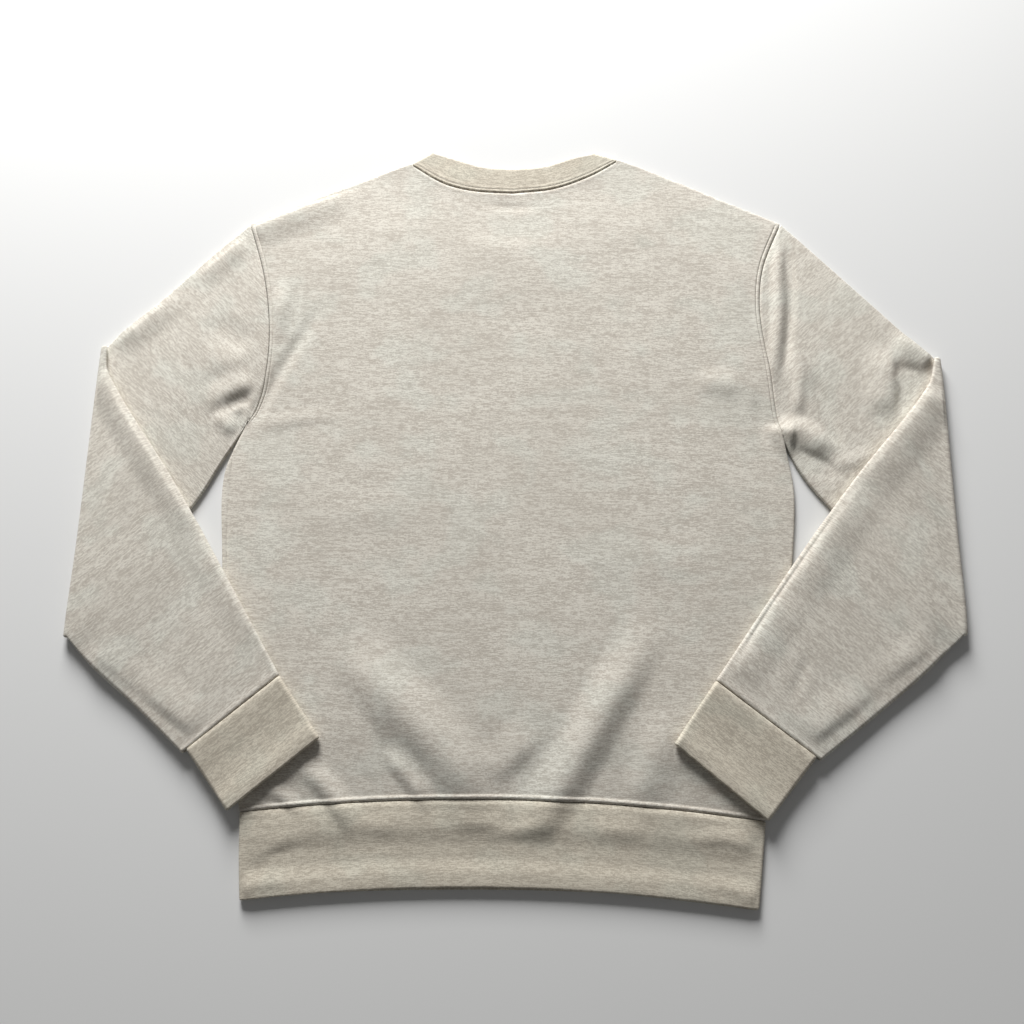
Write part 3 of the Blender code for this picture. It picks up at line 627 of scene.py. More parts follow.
# %% Grid helpers
NEAR_EDGE = (0.9, 1.5, 2.1, 2.7, 3.3, 3.9, 4.6, 5.6, 7.0)   # first grid lines, distance from an edge
STEP = 2.6


def stations(length, step=STEP, near_start=True, near_end=True):
    """Distances along an edge at which the grid has its lines."""
    start = list(NEAR_EDGE) if near_start else [0.0]
    end = [length - near for near in NEAR_EDGE[::-1]] if near_end else [length]
    count = max(int(np.ceil((end[0] - start[-1]) / step)), 1)
    return np.array([*start, *np.linspace(start[-1], end[0], count + 1)[1:-1], *end])


class Chain:
    """Lines that follow each other along one side of a grid, each over its own share of the side."""

    def __init__(self, lines, breaks):
        self.lines, self.breaks = lines, breaks

    def at(self, shares):
        points = np.empty((len(shares), 2))
        for line, low, high in zip(self.lines, self.breaks[:-1], self.breaks[1:]):
            here = (shares >= low) & (shares <= high)
            points[here] = along(line, (shares[here] - low) / (high - low))
        return points


def patch(bottom, top, left, right, across, up):
    """A plan grid between four chains, at shares across and up."""
    u, v = across[None, :, None], up[:, None, None]
    ends = np.array([0.0, 1.0])
    (low_left, low_right), (high_left, high_right) = bottom.at(ends), top.at(ends)
    between_rows = (1 - v) * bottom.at(across)[None] + v * top.at(across)[None]
    between_columns = (1 - u) * left.at(up)[:, None] + u * right.at(up)[:, None]
    corners = ((1 - u) * (1 - v) * low_left + u * (1 - v) * low_right
               + (1 - u) * v * high_left + u * v * high_right)
    return between_rows + between_columns - corners


def one(line):
    return Chain([line], (0.0, 1.0))


print("grid lines every", STEP, "mm, closer beside the edges")

# %% [markdown]
# ## Seam profiles
# A seam shows as relief: the cloth turns down into the ditch between two pieces, the folded-back
# allowance lifts a narrow ridge beside it, and a row of stitches pulls a groove into that ridge. Each
# kind of seam is a short table of heights against the distance from the ditch.

# %% Seam profiles
HEM_PROFILE = ((0.9, -0.1), (1.5, 0.55), (2.1, 0.85), (2.7, 0.75), (3.3, 0.35), (3.9, 0.0), (4.6, -0.15),
               (5.6, -0.15), (9.0, 0.0))
NECK_PROFILE = ((0.9, -0.35), (1.5, 0.0), (2.1, 0.25), (2.7, 0.32), (3.9, 0.25), (5.6, 0.1), (9.0, 0.0))
ARMHOLE_PROFILE = ((0.9, -0.2), (1.5, 0.1), (2.1, 0.25), (2.7, 0.1), (3.3, -0.6), (3.9, -0.05),
                   (4.6, 0.1), (7.0, 0.0))
SLEEVE_HEAD_PROFILE = ((0.9, -0.2), (1.5, 0.0), (2.7, 0.15), (4.6, 0.0))
NECK_RIB_PROFILE = ((1.2, 0.0), (1.5, 0.15), (2.4, -0.2), (3.0, -0.3), (4.0, 0.05), (4.6, 0.1), (6.0, -0.1),
                    (8.0, 0.0))
RIB_SEAM_PROFILE = ((1.2, -0.5), (1.8, -0.3), (3.2, -0.05), (5.0, 0.0))
WRIST_PROFILE = ((0.9, 0.0), (1.5, 0.3), (2.7, 0.45), (4.6, 0.15), (7.0, 0.0))
# swells of a whole band, from its seam to its free edge
HEM_SWELL = ((0.0, 0.0), (6.0, 0.7), (14.0, 1.1), (20.0, 1.2), (38.0, -0.4), (46.0, -0.35), (62.0, 1.6),
             (67.0, 1.7), (72.0, 1.4))
CUFF_SWELL = ((0.0, 0.7), (4.0, 0.9), (32.0, -0.35), (40.0, -0.3), (59.0, 1.5), (64.0, 1.3))


def seam_profile(table, away):
    """Height beside a seam, from its table, at distances from the ditch."""
    distances, heights = np.array(table).T
    return np.interp(away, distances, heights)


def swelling(table, away):
    """Height across a band, eased from each line of its table to the next."""
    height = np.full(np.shape(away), table[0][1], float)
    for (start, low), (end, high) in zip(table[:-1], table[1:]):
        height += (high - low) * ease((away - start) / (end - start))
    return height


print("hem ridge %.2f mm high" % max(height for _, height in HEM_PROFILE))

# %% [markdown]
# ## The yarn
# The cloth is knitted from a melange yarn: pale and grey fibres were mixed before spinning, so every
# course shows short streaks of lighter and darker yarn. An image of cloth would do, but a picture repeats
# and blurs close up, so noise that is stretched along the courses makes the streaks at any size. A small
# class lets Python arithmetic add the shader's Math nodes.

# %% Shader arithmetic
class Shade:
    """Wraps an output socket, so that shader maths reads like arithmetic."""

    def __init__(self, tree, socket=None):
        self.tree, self.socket = tree, socket

    def node(self, kind, settings, inputs, output=0):
        """Any node: its type, its settings, and the values or links of its sockets."""
        made = self.tree.nodes.new(kind)
        for name, value in settings.items():
            setattr(made, name, value)
        for key, value in inputs.items():
            if isinstance(value, Shade):
                self.tree.links.new(value.socket, made.inputs[key])
            else:
                made.inputs[key].default_value = value
        return Shade(self.tree, made.outputs[output])

    def math(self, operation, *others):
        return self.node("ShaderNodeMath", {"operation": operation}, dict(enumerate((self, *others))))

    def __add__(self, other):
        return self.math("ADD", other)

    def __radd__(self, other):
        return self.math("ADD", other)

    def __sub__(self, other):
        return self.math("SUBTRACT", other)

    def __rsub__(self, other):
        return self.node("ShaderNodeMath", {"operation": "SUBTRACT"}, {0: other, 1: self})

    def __mul__(self, other):
        return self.math("MULTIPLY", other)

    def __truediv__(self, other):
        return self.math("DIVIDE", other)

    def between(self, low, high):
        """0 below low, 1 above high, with an eased step between them."""
        return self.node("ShaderNodeMapRange", {"interpolation_type": "SMOOTHSTEP"},
                         {"Value": self, "From Min": low, "From Max": high})

    def noise(self, across, up, detail, roughness=0.55):
        """Noise over the cloth with that many patches to the metre along and across the courses."""
        stretched = self.node("ShaderNodeVectorMath", {"operation": "MULTIPLY"},
                              {0: self, 1: (across, up, 1.0)})
        return self.node("ShaderNodeTexNoise", {"noise_dimensions": "2D"},
                         {"Vector": stretched, "Scale": 1.0, "Detail": detail, "Roughness": roughness})

    def mixed(self, factor, low, high):
        """A colour between two others, in the same tree."""
        return self.node("ShaderNodeMix", {"data_type": "RGBA"}, {0: factor, 6: low, 7: high}, 2)


def new_material(name):
    """A material, its node tree and the inputs of its surface."""
    material = bpy.data.materials.new(name)
    material.use_nodes = True
    tree = material.node_tree
    return material, tree, tree.nodes["Principled BSDF"].inputs


def tinted(colour):
    return (*colour, 1.0)


print("shader nodes are made by", Shade.__name__)

# %% [markdown]
# ## Two finishes of one yarn
# The body is a smooth jersey face and the bands are a fine rib of the same yarn. Both get a base colour
# that moves between a grey and a pale tone in four sizes of streak, with wide patches that are darker or
# lean to pink or to green-grey, and sparse dark fibres. Bump alone carries the stitches and the fine rib,
# which are under two millimetres wide.

# %% Yarn materials
WALE, COURSE = 0.00115, 0.00085       # width and height of a jersey stitch
RIB_PITCH = 0.0016                    # width of a rib and its furrow

# streaks of tone: how many to the metre along and across the courses, their octaves and their weight
STREAKS = ((560, 1150, 1.0, 0.27), (170, 1000, 1.0, 0.34), (68, 460, 2.0, 0.24), (21, 120, 2.0, 0.15))
FINE_STREAK = 1                       # the row whose noise shows in the relief too
WARMTH_NOISE, PATCH_NOISE, FLECK_NOISE = (17, 22, 2.0), (11, 17, 3.0), (260, 1150, 1.0)
FIBRE_NOISE = (900, 1500, 3.0, 0.7)
# noise levels between which each of them goes from none to full
TONE_RANGE, WARMTH_RANGE, PATCH_RANGE, FLECK_RANGE = (0.405, 0.595), (0.34, 0.52), (0.35, 0.65), (0.66, 0.74)
LEANING_SHARE, PATCH_SHARE, FLECK_SHARE = 0.26, 0.16, 0.35
RIB_RELIEF, LOOP_RELIEF, SLANT_RELIEF = 0.12, 0.25, 0.9
KNIT_RELIEF, FIBRE_RELIEF, STREAK_RELIEF = 0.55, 0.9, 0.5
BUMP_STRENGTH, BUMP_DEPTH = 0.55, 0.00022
ROUGHNESS, FIBRE_ROUGHNESS = 0.86, 0.14
SHINE = {"Specular IOR Level": 0.2, "Sheen Weight": 0.15, "Sheen Roughness": 0.6}

Melange = namedtuple("Melange", "dark light warm cool fleck")
FLEECE_MELANGE = Melange((0.505, 0.462, 0.395), (0.835, 0.802, 0.71), (0.63, 0.565, 0.49),
                         (0.68, 0.69, 0.615), (0.32, 0.27, 0.22))
RIB_MELANGE = Melange((0.455, 0.41, 0.335), (0.765, 0.71, 0.59), (0.60, 0.525, 0.415),
                      (0.60, 0.585, 0.48), (0.29, 0.24, 0.18))


def yarn_material(name, melange, ribbed):
    material, tree, surface = new_material(name)
    cloth = Shade(tree).node("ShaderNodeUVMap", {"uv_map": "Cloth"}, {})

    streaks = [cloth.noise(*streak[:3]) for streak in STREAKS]
    weighted = [noise * streak[3] for noise, streak in zip(streaks, STREAKS)]
    tone = sum(weighted[1:], weighted[0]).between(*TONE_RANGE)
    warmth = cloth.noise(*WARMTH_NOISE).between(*WARMTH_RANGE)
    patch_tone = cloth.noise(*PATCH_NOISE).between(*PATCH_RANGE)
    flecks = cloth.noise(*FLECK_NOISE).between(*FLECK_RANGE)

    yarn = cloth.mixed(tone, tinted(melange.dark), tinted(melange.light))
    leaning = cloth.mixed(warmth, tinted(melange.cool), tinted(melange.warm))
    yarn = cloth.mixed(LEANING_SHARE, yarn, leaning)
    yarn = cloth.mixed(patch_tone * PATCH_SHARE, yarn, tinted(melange.dark))
    yarn = cloth.mixed(flecks * FLECK_SHARE, yarn, tinted(melange.fleck))
    tree.links.new(yarn.socket, surface["Base Color"])

    across, up = (cloth.node("ShaderNodeSeparateXYZ", {}, {0: cloth}, axis) for axis in (0, 1))
    fibres = cloth.noise(*FIBRE_NOISE)
    if ribbed:
        knit = (across / RIB_PITCH * (2 * pi)).math("SINE") * RIB_RELIEF
    else:
        slant = ((across / WALE).math("FRACT") - 0.5).math("ABSOLUTE")
        loop = (up / COURSE + slant) * (2 * pi)
        knit = loop.math("SINE") * LOOP_RELIEF + (0.5 - slant) * SLANT_RELIEF
    height = knit * KNIT_RELIEF + fibres * FIBRE_RELIEF + streaks[FINE_STREAK] * STREAK_RELIEF
    bump = cloth.node("ShaderNodeBump", {},
                      {"Strength": BUMP_STRENGTH, "Distance": BUMP_DEPTH, "Height": height})
    tree.links.new(bump.socket, surface["Normal"])

    roughness = ROUGHNESS + fibres * FIBRE_ROUGHNESS
    tree.links.new(roughness.socket, surface["Roughness"])
    for socket, value in SHINE.items():
        surface[socket].default_value = value
    print(name, "has", len(tree.nodes), "nodes")
    return material


fleece = yarn_material("oatmeal_fleece", FLEECE_MELANGE, False)
rib = yarn_material("oatmeal_rib", RIB_MELANGE, True)

# %% [markdown]
# ## Back panel
# The back panel is the piece on top: a wide sheet from the hem seam up to the shoulders, cut away at both
# armholes and at the neck. Its grid runs straight along the courses. The heights come from the folds and
# the seam profiles.

# %% Neck and armhole lines
NECKLINE_POINTS = 61


def neck_corner(side):
    """Ends of the neckband's turn, drawn in so that the turn reaches the outline, and its ways out."""
    seam, free = edge(NECK_SEAM, side)[0], edge(NECK_FREE, side)[0]
    run = (free - seam) / np.hypot(*(free - seam))
    out = side * np.array([run[1], -run[0]])
    inset = out * (RIB_EDGE_RADIUS + RIB / 2)
    return seam - inset, free - inset, out, run


def neck_line(places, corner_index):
    """The back neckline through a table of places, between the drawn-in ends of the turns."""
    halves = {}
    for side in SIDES:
        points = plan_points(places, side)
        points[0] = neck_corner(side)[corner_index]
        halves[side] = smooth(points)
    return np.vstack([halves[LEFT], halves[RIGHT][::-1][1:]])


def armhole_line(side, gap_side):
    """The armhole from its tip down, on the sleeve's side of the seam (1) or on the body's (-1)."""
    return shifted(edge(ARMHOLE, side), gap_side * side * SEAM / 2)


def front_neckline(drop, ends):
    """Half an ellipse below two ends."""
    (left_x, left_y), (right_x, right_y) = ends
    turn = np.linspace(0.0, pi, NECKLINE_POINTS)
    share = (1 - np.cos(turn)) / 2
    return np.column_stack([left_x + (right_x - left_x) * share,
                            left_y + (right_y - left_y) * share - drop * np.sin(turn)])


def panel_chains(neck):
    """The four sides of a body panel, and the shares at which its corners lie."""
    bottom = shifted(SEAM_OF_HEM, SEAM / 2)
    armholes = {side: armhole_line(side, -1)[::-1] for side in SIDES}
    flanks = {side: np.vstack([corner, edge(SIDE, side)[1:-1], armholes[side][:1]])
              for side, corner in ((LEFT, bottom[0]), (RIGHT, bottom[-1]))}
    shoulders = {side: np.vstack([armholes[side][-1:], edge(SHOULDER, side)[-2:0:-1], end])
                 for side, end in ((LEFT, neck[:1]), (RIGHT, neck[-1:]))}
    start, end = shoulders[LEFT][0, 0], shoulders[RIGHT][0, 0]
    across_breaks = (0.0, (neck[0, 0] - start) / (end - start), (neck[-1, 0] - start) / (end - start), 1.0)
    low, underarm, tip = flanks[LEFT][0, 1], flanks[LEFT][-1, 1], armholes[LEFT][-1, 1]
    up_breaks = (0.0, (underarm - low) / (tip - low), 1.0)
    top = Chain([shoulders[LEFT], neck, shoulders[RIGHT][::-1]], across_breaks)
    left, right = (Chain([flanks[side], armholes[side]], up_breaks) for side in SIDES)
    return one(bottom), top, left, right


def grid_shares(breaks, reference, step=STEP):
    """Shares of the grid lines, close together at both ends, with one on each break."""
    shares = []
    for low, high in zip(breaks[:-1], breaks[1:]):
        span = (high - low) * reference
        near = stations(span, step, low == 0.0, high == 1.0)
        shares.append(low + near / reference)
    return np.unique(np.round(np.concatenate(shares), 9))


print("neck seam %.0f mm long" % line_length(neck_line(NECK_SEAM, 0)))

# %% Back panel
PANEL_WIDTH, PANEL_HEIGHT = 460.0, 560.0     # typical span of the grid lines, for their spacing
# shares of the panel over which the relief of a seam comes up from nothing
NECK_EASE, UNDERARM_EASE, TIP_EASE = 0.02, 0.03, 0.015


def back_neck():
    """The back panel's neck edge: round the turn of the neckband and along its seam."""
    line = shifted(neck_line(NECK_SEAM, 0), -SEAM / 2)
    ends = {}
    for side in SIDES:
        seam_end, *_, run = neck_corner(side)
        ends[side] = [edge(NECK_SEAM, side)[0] - SEAM * run, seam_end - SEAM * run]
    return np.vstack([ends[LEFT], line[1:-1], ends[RIGHT][::-1]])


def make_back_panel():
    bottom, top, left, right = panel_chains(back_neck())
    across = grid_shares(top.breaks, PANEL_WIDTH)
    up = grid_shares(left.breaks, PANEL_HEIGHT)
    plan = patch(bottom, top, left, right, across, up)
    height = top_height(plan)
    neck_start, neck_end = top.breaks[1:3]
    underarm = left.breaks[1]
    on_neck = ease((across - neck_start) / NECK_EASE) * ease((neck_end - across) / NECK_EASE)
    on_armhole = ease((up - underarm) / UNDERARM_EASE) * ease((1 - up) / TIP_EASE)
    height += seam_profile(HEM_PROFILE, up * PANEL_HEIGHT)[:, None]
    height += seam_profile(NECK_PROFILE, (1 - up) * PANEL_HEIGHT)[:, None] * on_neck
    for inward in (across, 1 - across):
        height += seam_profile(ARMHOLE_PROFILE, inward * PANEL_WIDTH) * on_armhole[:, None]
    return np.dstack([plan, height])


back_rows = make_back_panel()
back_panel = make_shell("back_panel_cloth", back_rows, back_rows[..., :2], FLEECE, fleece)

# %% [markdown]
# ## Front panel
# The front panel lies below, with its face on the floor but for a few shallow creases. It has the same
# outline with a deeper neckline, and it shows at the sides and from below.

# %% Front panel
FRONT_STEP = 4.0
FRONT_PLACE = (900.0, 0.0)      # the front's place on the knitted cloth, away from the back's


def make_front_panel():
    ends = np.array([neck_corner(side)[0] for side in SIDES])
    neck = shifted(front_neckline(FRONT_NECK_DROP, ends), -SEAM)
    bottom, top, left, right = panel_chains(neck)
    across = grid_shares(top.breaks, PANEL_WIDTH, FRONT_STEP)
    up = grid_shares(left.breaks, PANEL_HEIGHT, FRONT_STEP)
    plan = patch(bottom, top, left, right, across, up)
    return np.dstack([plan, floor_layer(FLEECE)(plan)])


front_rows = make_front_panel()
front_panel = make_shell("front_panel_cloth", front_rows, front_rows[..., :2] + FRONT_PLACE, FLEECE, fleece)

# %% [markdown]
# ## Tubes of cloth
# A sleeve, a cuff and the hem are tubes that lie flat. Each ring of such a tube has an upper and a lower
# layer and a tight half round at either side. A sleeve also turns over along its outer side, where the
# rings swing round the fold from lying to turned.

# %% Tube helpers
EDGE_ANGLES = np.linspace(0.5 * pi, -0.5 * pi, 9)     # points of a rounded edge, upper layer to lower
EDGE_ROOM = 0.9      # share of the way to the next column that a rounded edge may take
FOLD_RINGS = 14      # steps from lying to turned


def edge_turns(tips, inners, reach, wall):
    """Centres of the rounded edges that reach the tips, and the way out of each."""
    away = tips - inners
    away /= np.hypot(away[:, 0], away[:, 1])[:, None]
    return tips - away * (reach + wall / 2)[:, None], away


def flat_tube(rows, top, bottom, wall):
    """Rings of the middle of a flattened tube's wall, which reach the outer columns of its rows."""
    ends = []
    for tips, inners in ((rows[:, 0], rows[:, 1]), (rows[:, -1], rows[:, -2])):
        room = EDGE_ROOM * np.hypot(*(tips - inners).T) - wall / 2
        reach = np.minimum(np.abs(top(tips) - bottom(tips)) / 2, room)
        centres, away = edge_turns(tips, inners, reach, wall)
        middle, half = (top(centres) + bottom(centres)) / 2, (top(centres) - bottom(centres)) / 2
        ends.append([np.column_stack([centres + away * (reach * np.cos(angle))[:, None],
                                      middle + half * np.sin(angle)])
                     for angle in EDGE_ANGLES])
    start, finish = ends
    across = rows[:, 1:-1]
    upper = np.moveaxis(np.dstack([across, top(across)]), 1, 0)
    lower = np.moveaxis(np.dstack([across, bottom(across)]), 1, 0)
    return np.stack([start[0], *upper, *finish, *lower[::-1], *start[:0:-1]], axis=1)


def tube_layers(column_count):
    """1 on a tube's first layer, -1 on its second and between them round its edges."""
    turn = np.sin(EDGE_ANGLES)
    layer = np.ones(column_count - 2)
    return np.concatenate([turn[:1], layer, turn, -layer, turn[:0:-1]])


def fold_rings(line, outward, middle_height, side_radius, fold_radius, wall):
    """Rings that turn over about a line, from lying to turned, and their places on the flat cloth."""
    centres, away = edge_turns(line[[0, -1]], line[[1, -2]], np.full(2, side_radius), wall)
    start, finish = [[(centre + out * side_radius * np.cos(angle), side_radius * np.sin(angle))
                      for angle in EDGE_ANGLES] for centre, out in zip(centres, away)]
    upper = [(point, side_radius) for point in line[1:-1]]
    lower = [(point, -side_radius) for point in line[1:-1]]
    section = [start[0], *upper, *finish, *lower[::-1], *start[:0:-1]]
    plan = np.array([point for point, offset in section])
    reach = fold_radius - np.array([offset for point, offset in section])
    turns = np.linspace(0.0, pi, FOLD_RINGS + 1)[1:-1]
    rings = np.array([np.column_stack([plan + outward * (reach * np.sin(turn))[:, None],
                                       middle_height + fold_radius - reach * np.cos(turn)])
                      for turn in turns])
    flat = np.array([plan + outward * fold_radius * turn for turn in turns])
    return rings, flat


def outward_of(line, side):
    """The level direction that points out of the garment, square to a line."""
    run = (line[-1] - line[0]) / np.hypot(*(line[-1] - line[0]))
    normal = np.array([-run[1], run[0]])
    return normal if normal[0] * side > 0 else -normal


def turned_axes(plan, axis):
    """Plan points measured across and along an axis."""
    axis = np.array(axis) / np.hypot(*axis)
    return np.stack([plan @ np.array([-axis[1], axis[0]]), plan @ axis], -1)


print("tube edges have", len(EDGE_ANGLES), "points")

# %% [markdown]
# ## Sleeves
# Each sleeve is one tube of fleece from the armhole to the wrist. The yarn's courses run across the
# sleeve, so its places on the flat cloth are those of the sleeve before it was turned over.

# %% Sleeves
# shares at which the grid has lines, from a sleeve's top or inner edge to its lower edge
SLEEVE_ACROSS = np.concatenate([[0.0, 0.03, 0.038, 0.046, 0.054, 0.064], np.linspace(0.076, 0.80, 64),
                                np.linspace(0.809, 0.944, 16), [0.956, 0.97, 1.0]])
UPPER_LENGTH, FOREARM_LENGTH = 170.0, 250.0     # typical span of the grid lines
SLEEVE_AXIS = (0.67, -0.742)                    # way of an upper sleeve, out and down
# every piece has its own place on the knitted cloth, so that no two show the same yarn
SLEEVE_PLACES = {LEFT: (0.0, 700.0), RIGHT: (0.0, 1400.0)}


def make_sleeve(side):
    upper_up = stations(UPPER_LENGTH, near_end=False) / UPPER_LENGTH
    forearm_up = stations(FOREARM_LENGTH, near_start=False) / FOREARM_LENGTH
    fold = edge(SLEEVE_FOLD, side)
    upper = patch(one(armhole_line(side, 1)), one(fold), one(edge(SLEEVE_TOP, side)),
                  one(edge(SLEEVE_UNDER, side)), SLEEVE_ACROSS, upper_up)
    inner, lower = edge(FOREARM_INNER, side), edge(FOREARM_LOWER, side)
    wrist = np.array([inner[-1], lower[-1]])
    forearm = patch(one(fold), one(wrist), one(inner), one(lower), SLEEVE_ACROSS, forearm_up)
    long_edges = [inner, lower]
    resting = resting_layer(FLEECE)

    def puffed(plan):
        free = ease(distance(long_edges, plan) / FOREARM_PUFF_REACH)
        calm = ease(distance(SLEEVE_FOLDS, plan) / FOLD_CALM)
        level = resting(plan) * (1 - calm) + (bridge_height(plan) + LAYER_GAP + FLEECE / 2) * calm
        height = level + 2 * SLEEVE_EDGE_RADIUS + FOREARM_PUFF * free * calm + creased(plan, FOREARM_CREASES)
        return np.maximum(height, resting(plan) + FLEECE + LAYER_AIR)

    def upper_top(plan):
        return np.maximum(top_height(plan), EDGE_HEIGHT)

    layers = tube_layers(len(SLEEVE_ACROSS))
    lying = flat_tube(upper, upper_top, floor_layer(FLEECE), FLEECE)
    head = seam_profile(SLEEVE_HEAD_PROFILE, upper_up * UPPER_LENGTH)
    lying[..., 2] += head[:, None] * np.maximum(layers, 0)
    out = outward_of(fold, side)
    line = along(fold, SLEEVE_ACROSS)
    turning, turning_flat = fold_rings(line, out, FLEECE / 2 + SLEEVE_EDGE_RADIUS,
                                       SLEEVE_EDGE_RADIUS, SLEEVE_FOLD_RADIUS, FLEECE)
    turned = flat_tube(forearm, resting, puffed, FLEECE)
    wrist_lift = seam_profile(WRIST_PROFILE, (1 - forearm_up) * FOREARM_LENGTH)
    turned[..., 2] += wrist_lift[:, None] * np.maximum(-layers, 0)
    beyond = (turned[..., :2] - fold[0]) @ out
    turned_flat = turned[..., :2] + (pi * SLEEVE_FOLD_RADIUS - 2 * beyond)[..., None] * out
    flat = np.vstack([lying[..., :2], turning_flat, turned_flat])
    flat = turned_axes(flat, (side * SLEEVE_AXIS[0], SLEEVE_AXIS[1])) + SLEEVE_PLACES[side]
    rows = np.vstack([lying, turning, turned])
    return rows, make_shell("sleeve_%s_cloth" % SIDE_NAMES[side], rows, flat, FLEECE, fleece,
                            round_columns=True)


sleeves = {side: make_sleeve(side) for side in SIDES}

# %% [markdown]
# ## Cuffs and hem
# A cuff is a short tube of doubled rib. Its free end is the fold of the band, so it is round, and its
# other end is sewn to the sleeve. The hem band is a longer one, across the whole body, and the folds of
# the lower back run out in it.

# %% Cuffs
NEAR_RIB_EDGE = (1.2, 1.8, 2.4, 3.2, 4.4, 6.0)
RIB_STEP = 2.0


def rib_stations(length, step=RIB_STEP):
    middle = np.arange(NEAR_RIB_EDGE[-1] + step, length - NEAR_RIB_EDGE[-1] - step / 2, step)
    return np.array([*NEAR_RIB_EDGE, *middle, *(length - np.array(NEAR_RIB_EDGE[::-1]))])


CUFF_ACROSS = np.concatenate([[0.0, 0.04, 0.055], np.linspace(0.075, 0.925, 44), [0.945, 0.96, 1.0]])
CUFF_LENGTH = 64.0
CUFF_PLACES = {LEFT: (0.0, 0.0), RIGHT: (0.0, 300.0)}


def make_cuff(side):
    up = rib_stations(CUFF_LENGTH) / CUFF_LENGTH
    inner, lower = edge(CUFF_INNER, side), edge(CUFF_LOWER, side)
    away = (inner[-1] - inner[0]) / np.hypot(*(inner[-1] - inner[0])) * SEAM
    seam = np.array([inner[0], lower[0]]) + away
    plan = patch(one(seam), one(np.array([inner[-1], lower[-1]])),
                 one(np.vstack([seam[:1], inner[1:]])), one(np.vstack([seam[1:], lower[1:]])),
                 CUFF_ACROSS, up)
    resting = resting_layer(RIB)

    def upper(plan):
        level = bridge_height(plan) + LAYER_GAP + RIB / 2 + 2 * RIB_EDGE_RADIUS
        return np.maximum(level, resting(plan) + RIB + LAYER_AIR)

    rows = flat_tube(plan, resting, upper, RIB)
    drop = seam_profile(RIB_SEAM_PROFILE, up * CUFF_LENGTH) + swelling(CUFF_SWELL, up * CUFF_LENGTH)
    rows[..., 2] += drop[:, None] * np.maximum(-tube_layers(len(CUFF_ACROSS)), 0)
    flat = turned_axes(rows[..., :2], tuple(inner[-1] - inner[0])) + CUFF_PLACES[side]
    return rows, make_shell("cuff_%s_rib" % SIDE_NAMES[side], rows, flat, RIB, rib, round_columns=True)


cuffs = {side: make_cuff(side) for side in SIDES}

# %% Hem
HEM_WIDTH, HEM_LENGTH = 440.0, 72.0
HEM_PLACE = (0.0, 900.0)
HEM_JOIN = -177.0                  # the band's ends meet here; the grid is closer, but shows no line
HEM_NEAR_JOIN = (-1.4, -0.7, 0.0, 0.7, 1.4)
HEM_EDGE_COLUMNS = (3.4, 4.6)      # second and third column, from either edge
HEM_MARGIN, HEM_COLUMNS = 6.0, 180
HEM_JOIN_ROOM = 2.0                # even columns keep this far from the join
HEM_END_CALM = 14.0
FOOT_BELOW = ((-220, 0.3), (-150, 0.7), (-100, 1.6), (-50, 2.4), (0, 2.3), (50, 1.6), (100, 0.8), (150, 1.4),
              (220, 1.2))          # how far the front of the band shows below its back, along x
FOOT_REACH = 30.0


def make_hem():
    up = rib_stations(HEM_LENGTH) / HEM_LENGTH
    seam = shifted(SEAM_OF_HEM, -SEAM / 2)
    left, right = edge(HEM_SIDE, LEFT), edge(HEM_SIDE, RIGHT)
    left[0], right[0] = seam[0], seam[-1]
    join = (HEM_JOIN + HEM_WIDTH / 2 + np.array(HEM_NEAR_JOIN)) / HEM_WIDTH
    even = np.linspace(HEM_MARGIN, HEM_WIDTH - HEM_MARGIN, HEM_COLUMNS) / HEM_WIDTH
    even = even[np.abs(even - join[len(join) // 2]) > HEM_JOIN_ROOM / HEM_WIDTH]
    near_edge = np.array([0.0, *HEM_EDGE_COLUMNS]) / HEM_WIDTH
    across = np.sort(np.concatenate([near_edge, even, join, 1 - near_edge]))
    plan = patch(one(seam), one(FOOT_OF_HEM), one(left), one(right), across, up)

    def upper(plan):
        height = FLAT_HEIGHT + creased(plan, FOLDS) + creased(plan, HEM_CREASES)
        ends = ease((HEM_WIDTH / 2 - np.abs(plan[..., 0])) / HEM_END_CALM)
        height += ends * swelling(HEM_SWELL, distance([SEAM_OF_HEM], plan))
        return np.maximum(height, FLAT_HEIGHT - LAYER_GAP + LAYER_AIR)

    rows = flat_tube(plan, upper, floor_layer(RIB), RIB)
    layers = tube_layers(len(across))
    rows[..., 2] += seam_profile(RIB_SEAM_PROFILE, up * HEM_LENGTH)[:, None] * np.maximum(layers, 0)
    below = seam_profile(FOOT_BELOW, rows[..., 0]) * ease(1 - (1 - up) * HEM_LENGTH / FOOT_REACH)[:, None]
    rows[..., 1] -= below * np.maximum(-layers, 0)
    flat = rows[..., :2] - [[(0.0, HEM_BOW)]] * (1 - (rows[..., :1] / (HEM_WIDTH / 2)) ** 2)
    return rows, make_shell("hem_rib_band", rows, flat + HEM_PLACE, RIB, rib, round_columns=True)


hem_rows, hem = make_hem()

# %% [markdown]
# ## Neckband
# The neckband is a strip of doubled rib, joined into a ring. Its back lies on top along the neck seam,
# it turns over at both neck points, and its front lies below.

# %% Neckband
BAND_ACROSS = np.array([1.2, 1.5, 2.0, 2.5, 3.0, 3.5, 4.0, 4.6, 5.3, 6.2, 7.5, 9.5, 12.0, 14.5, 17.0, 19.0,
                        20.7, 21.9, 22.8]) / NECK_BAND_WIDTH
BACK_STATIONS, FRONT_STATIONS, TURN_RINGS = 100, 120, 10     # along the back, the front and each turn
NECK_PLACE = (0.0, 1200.0)


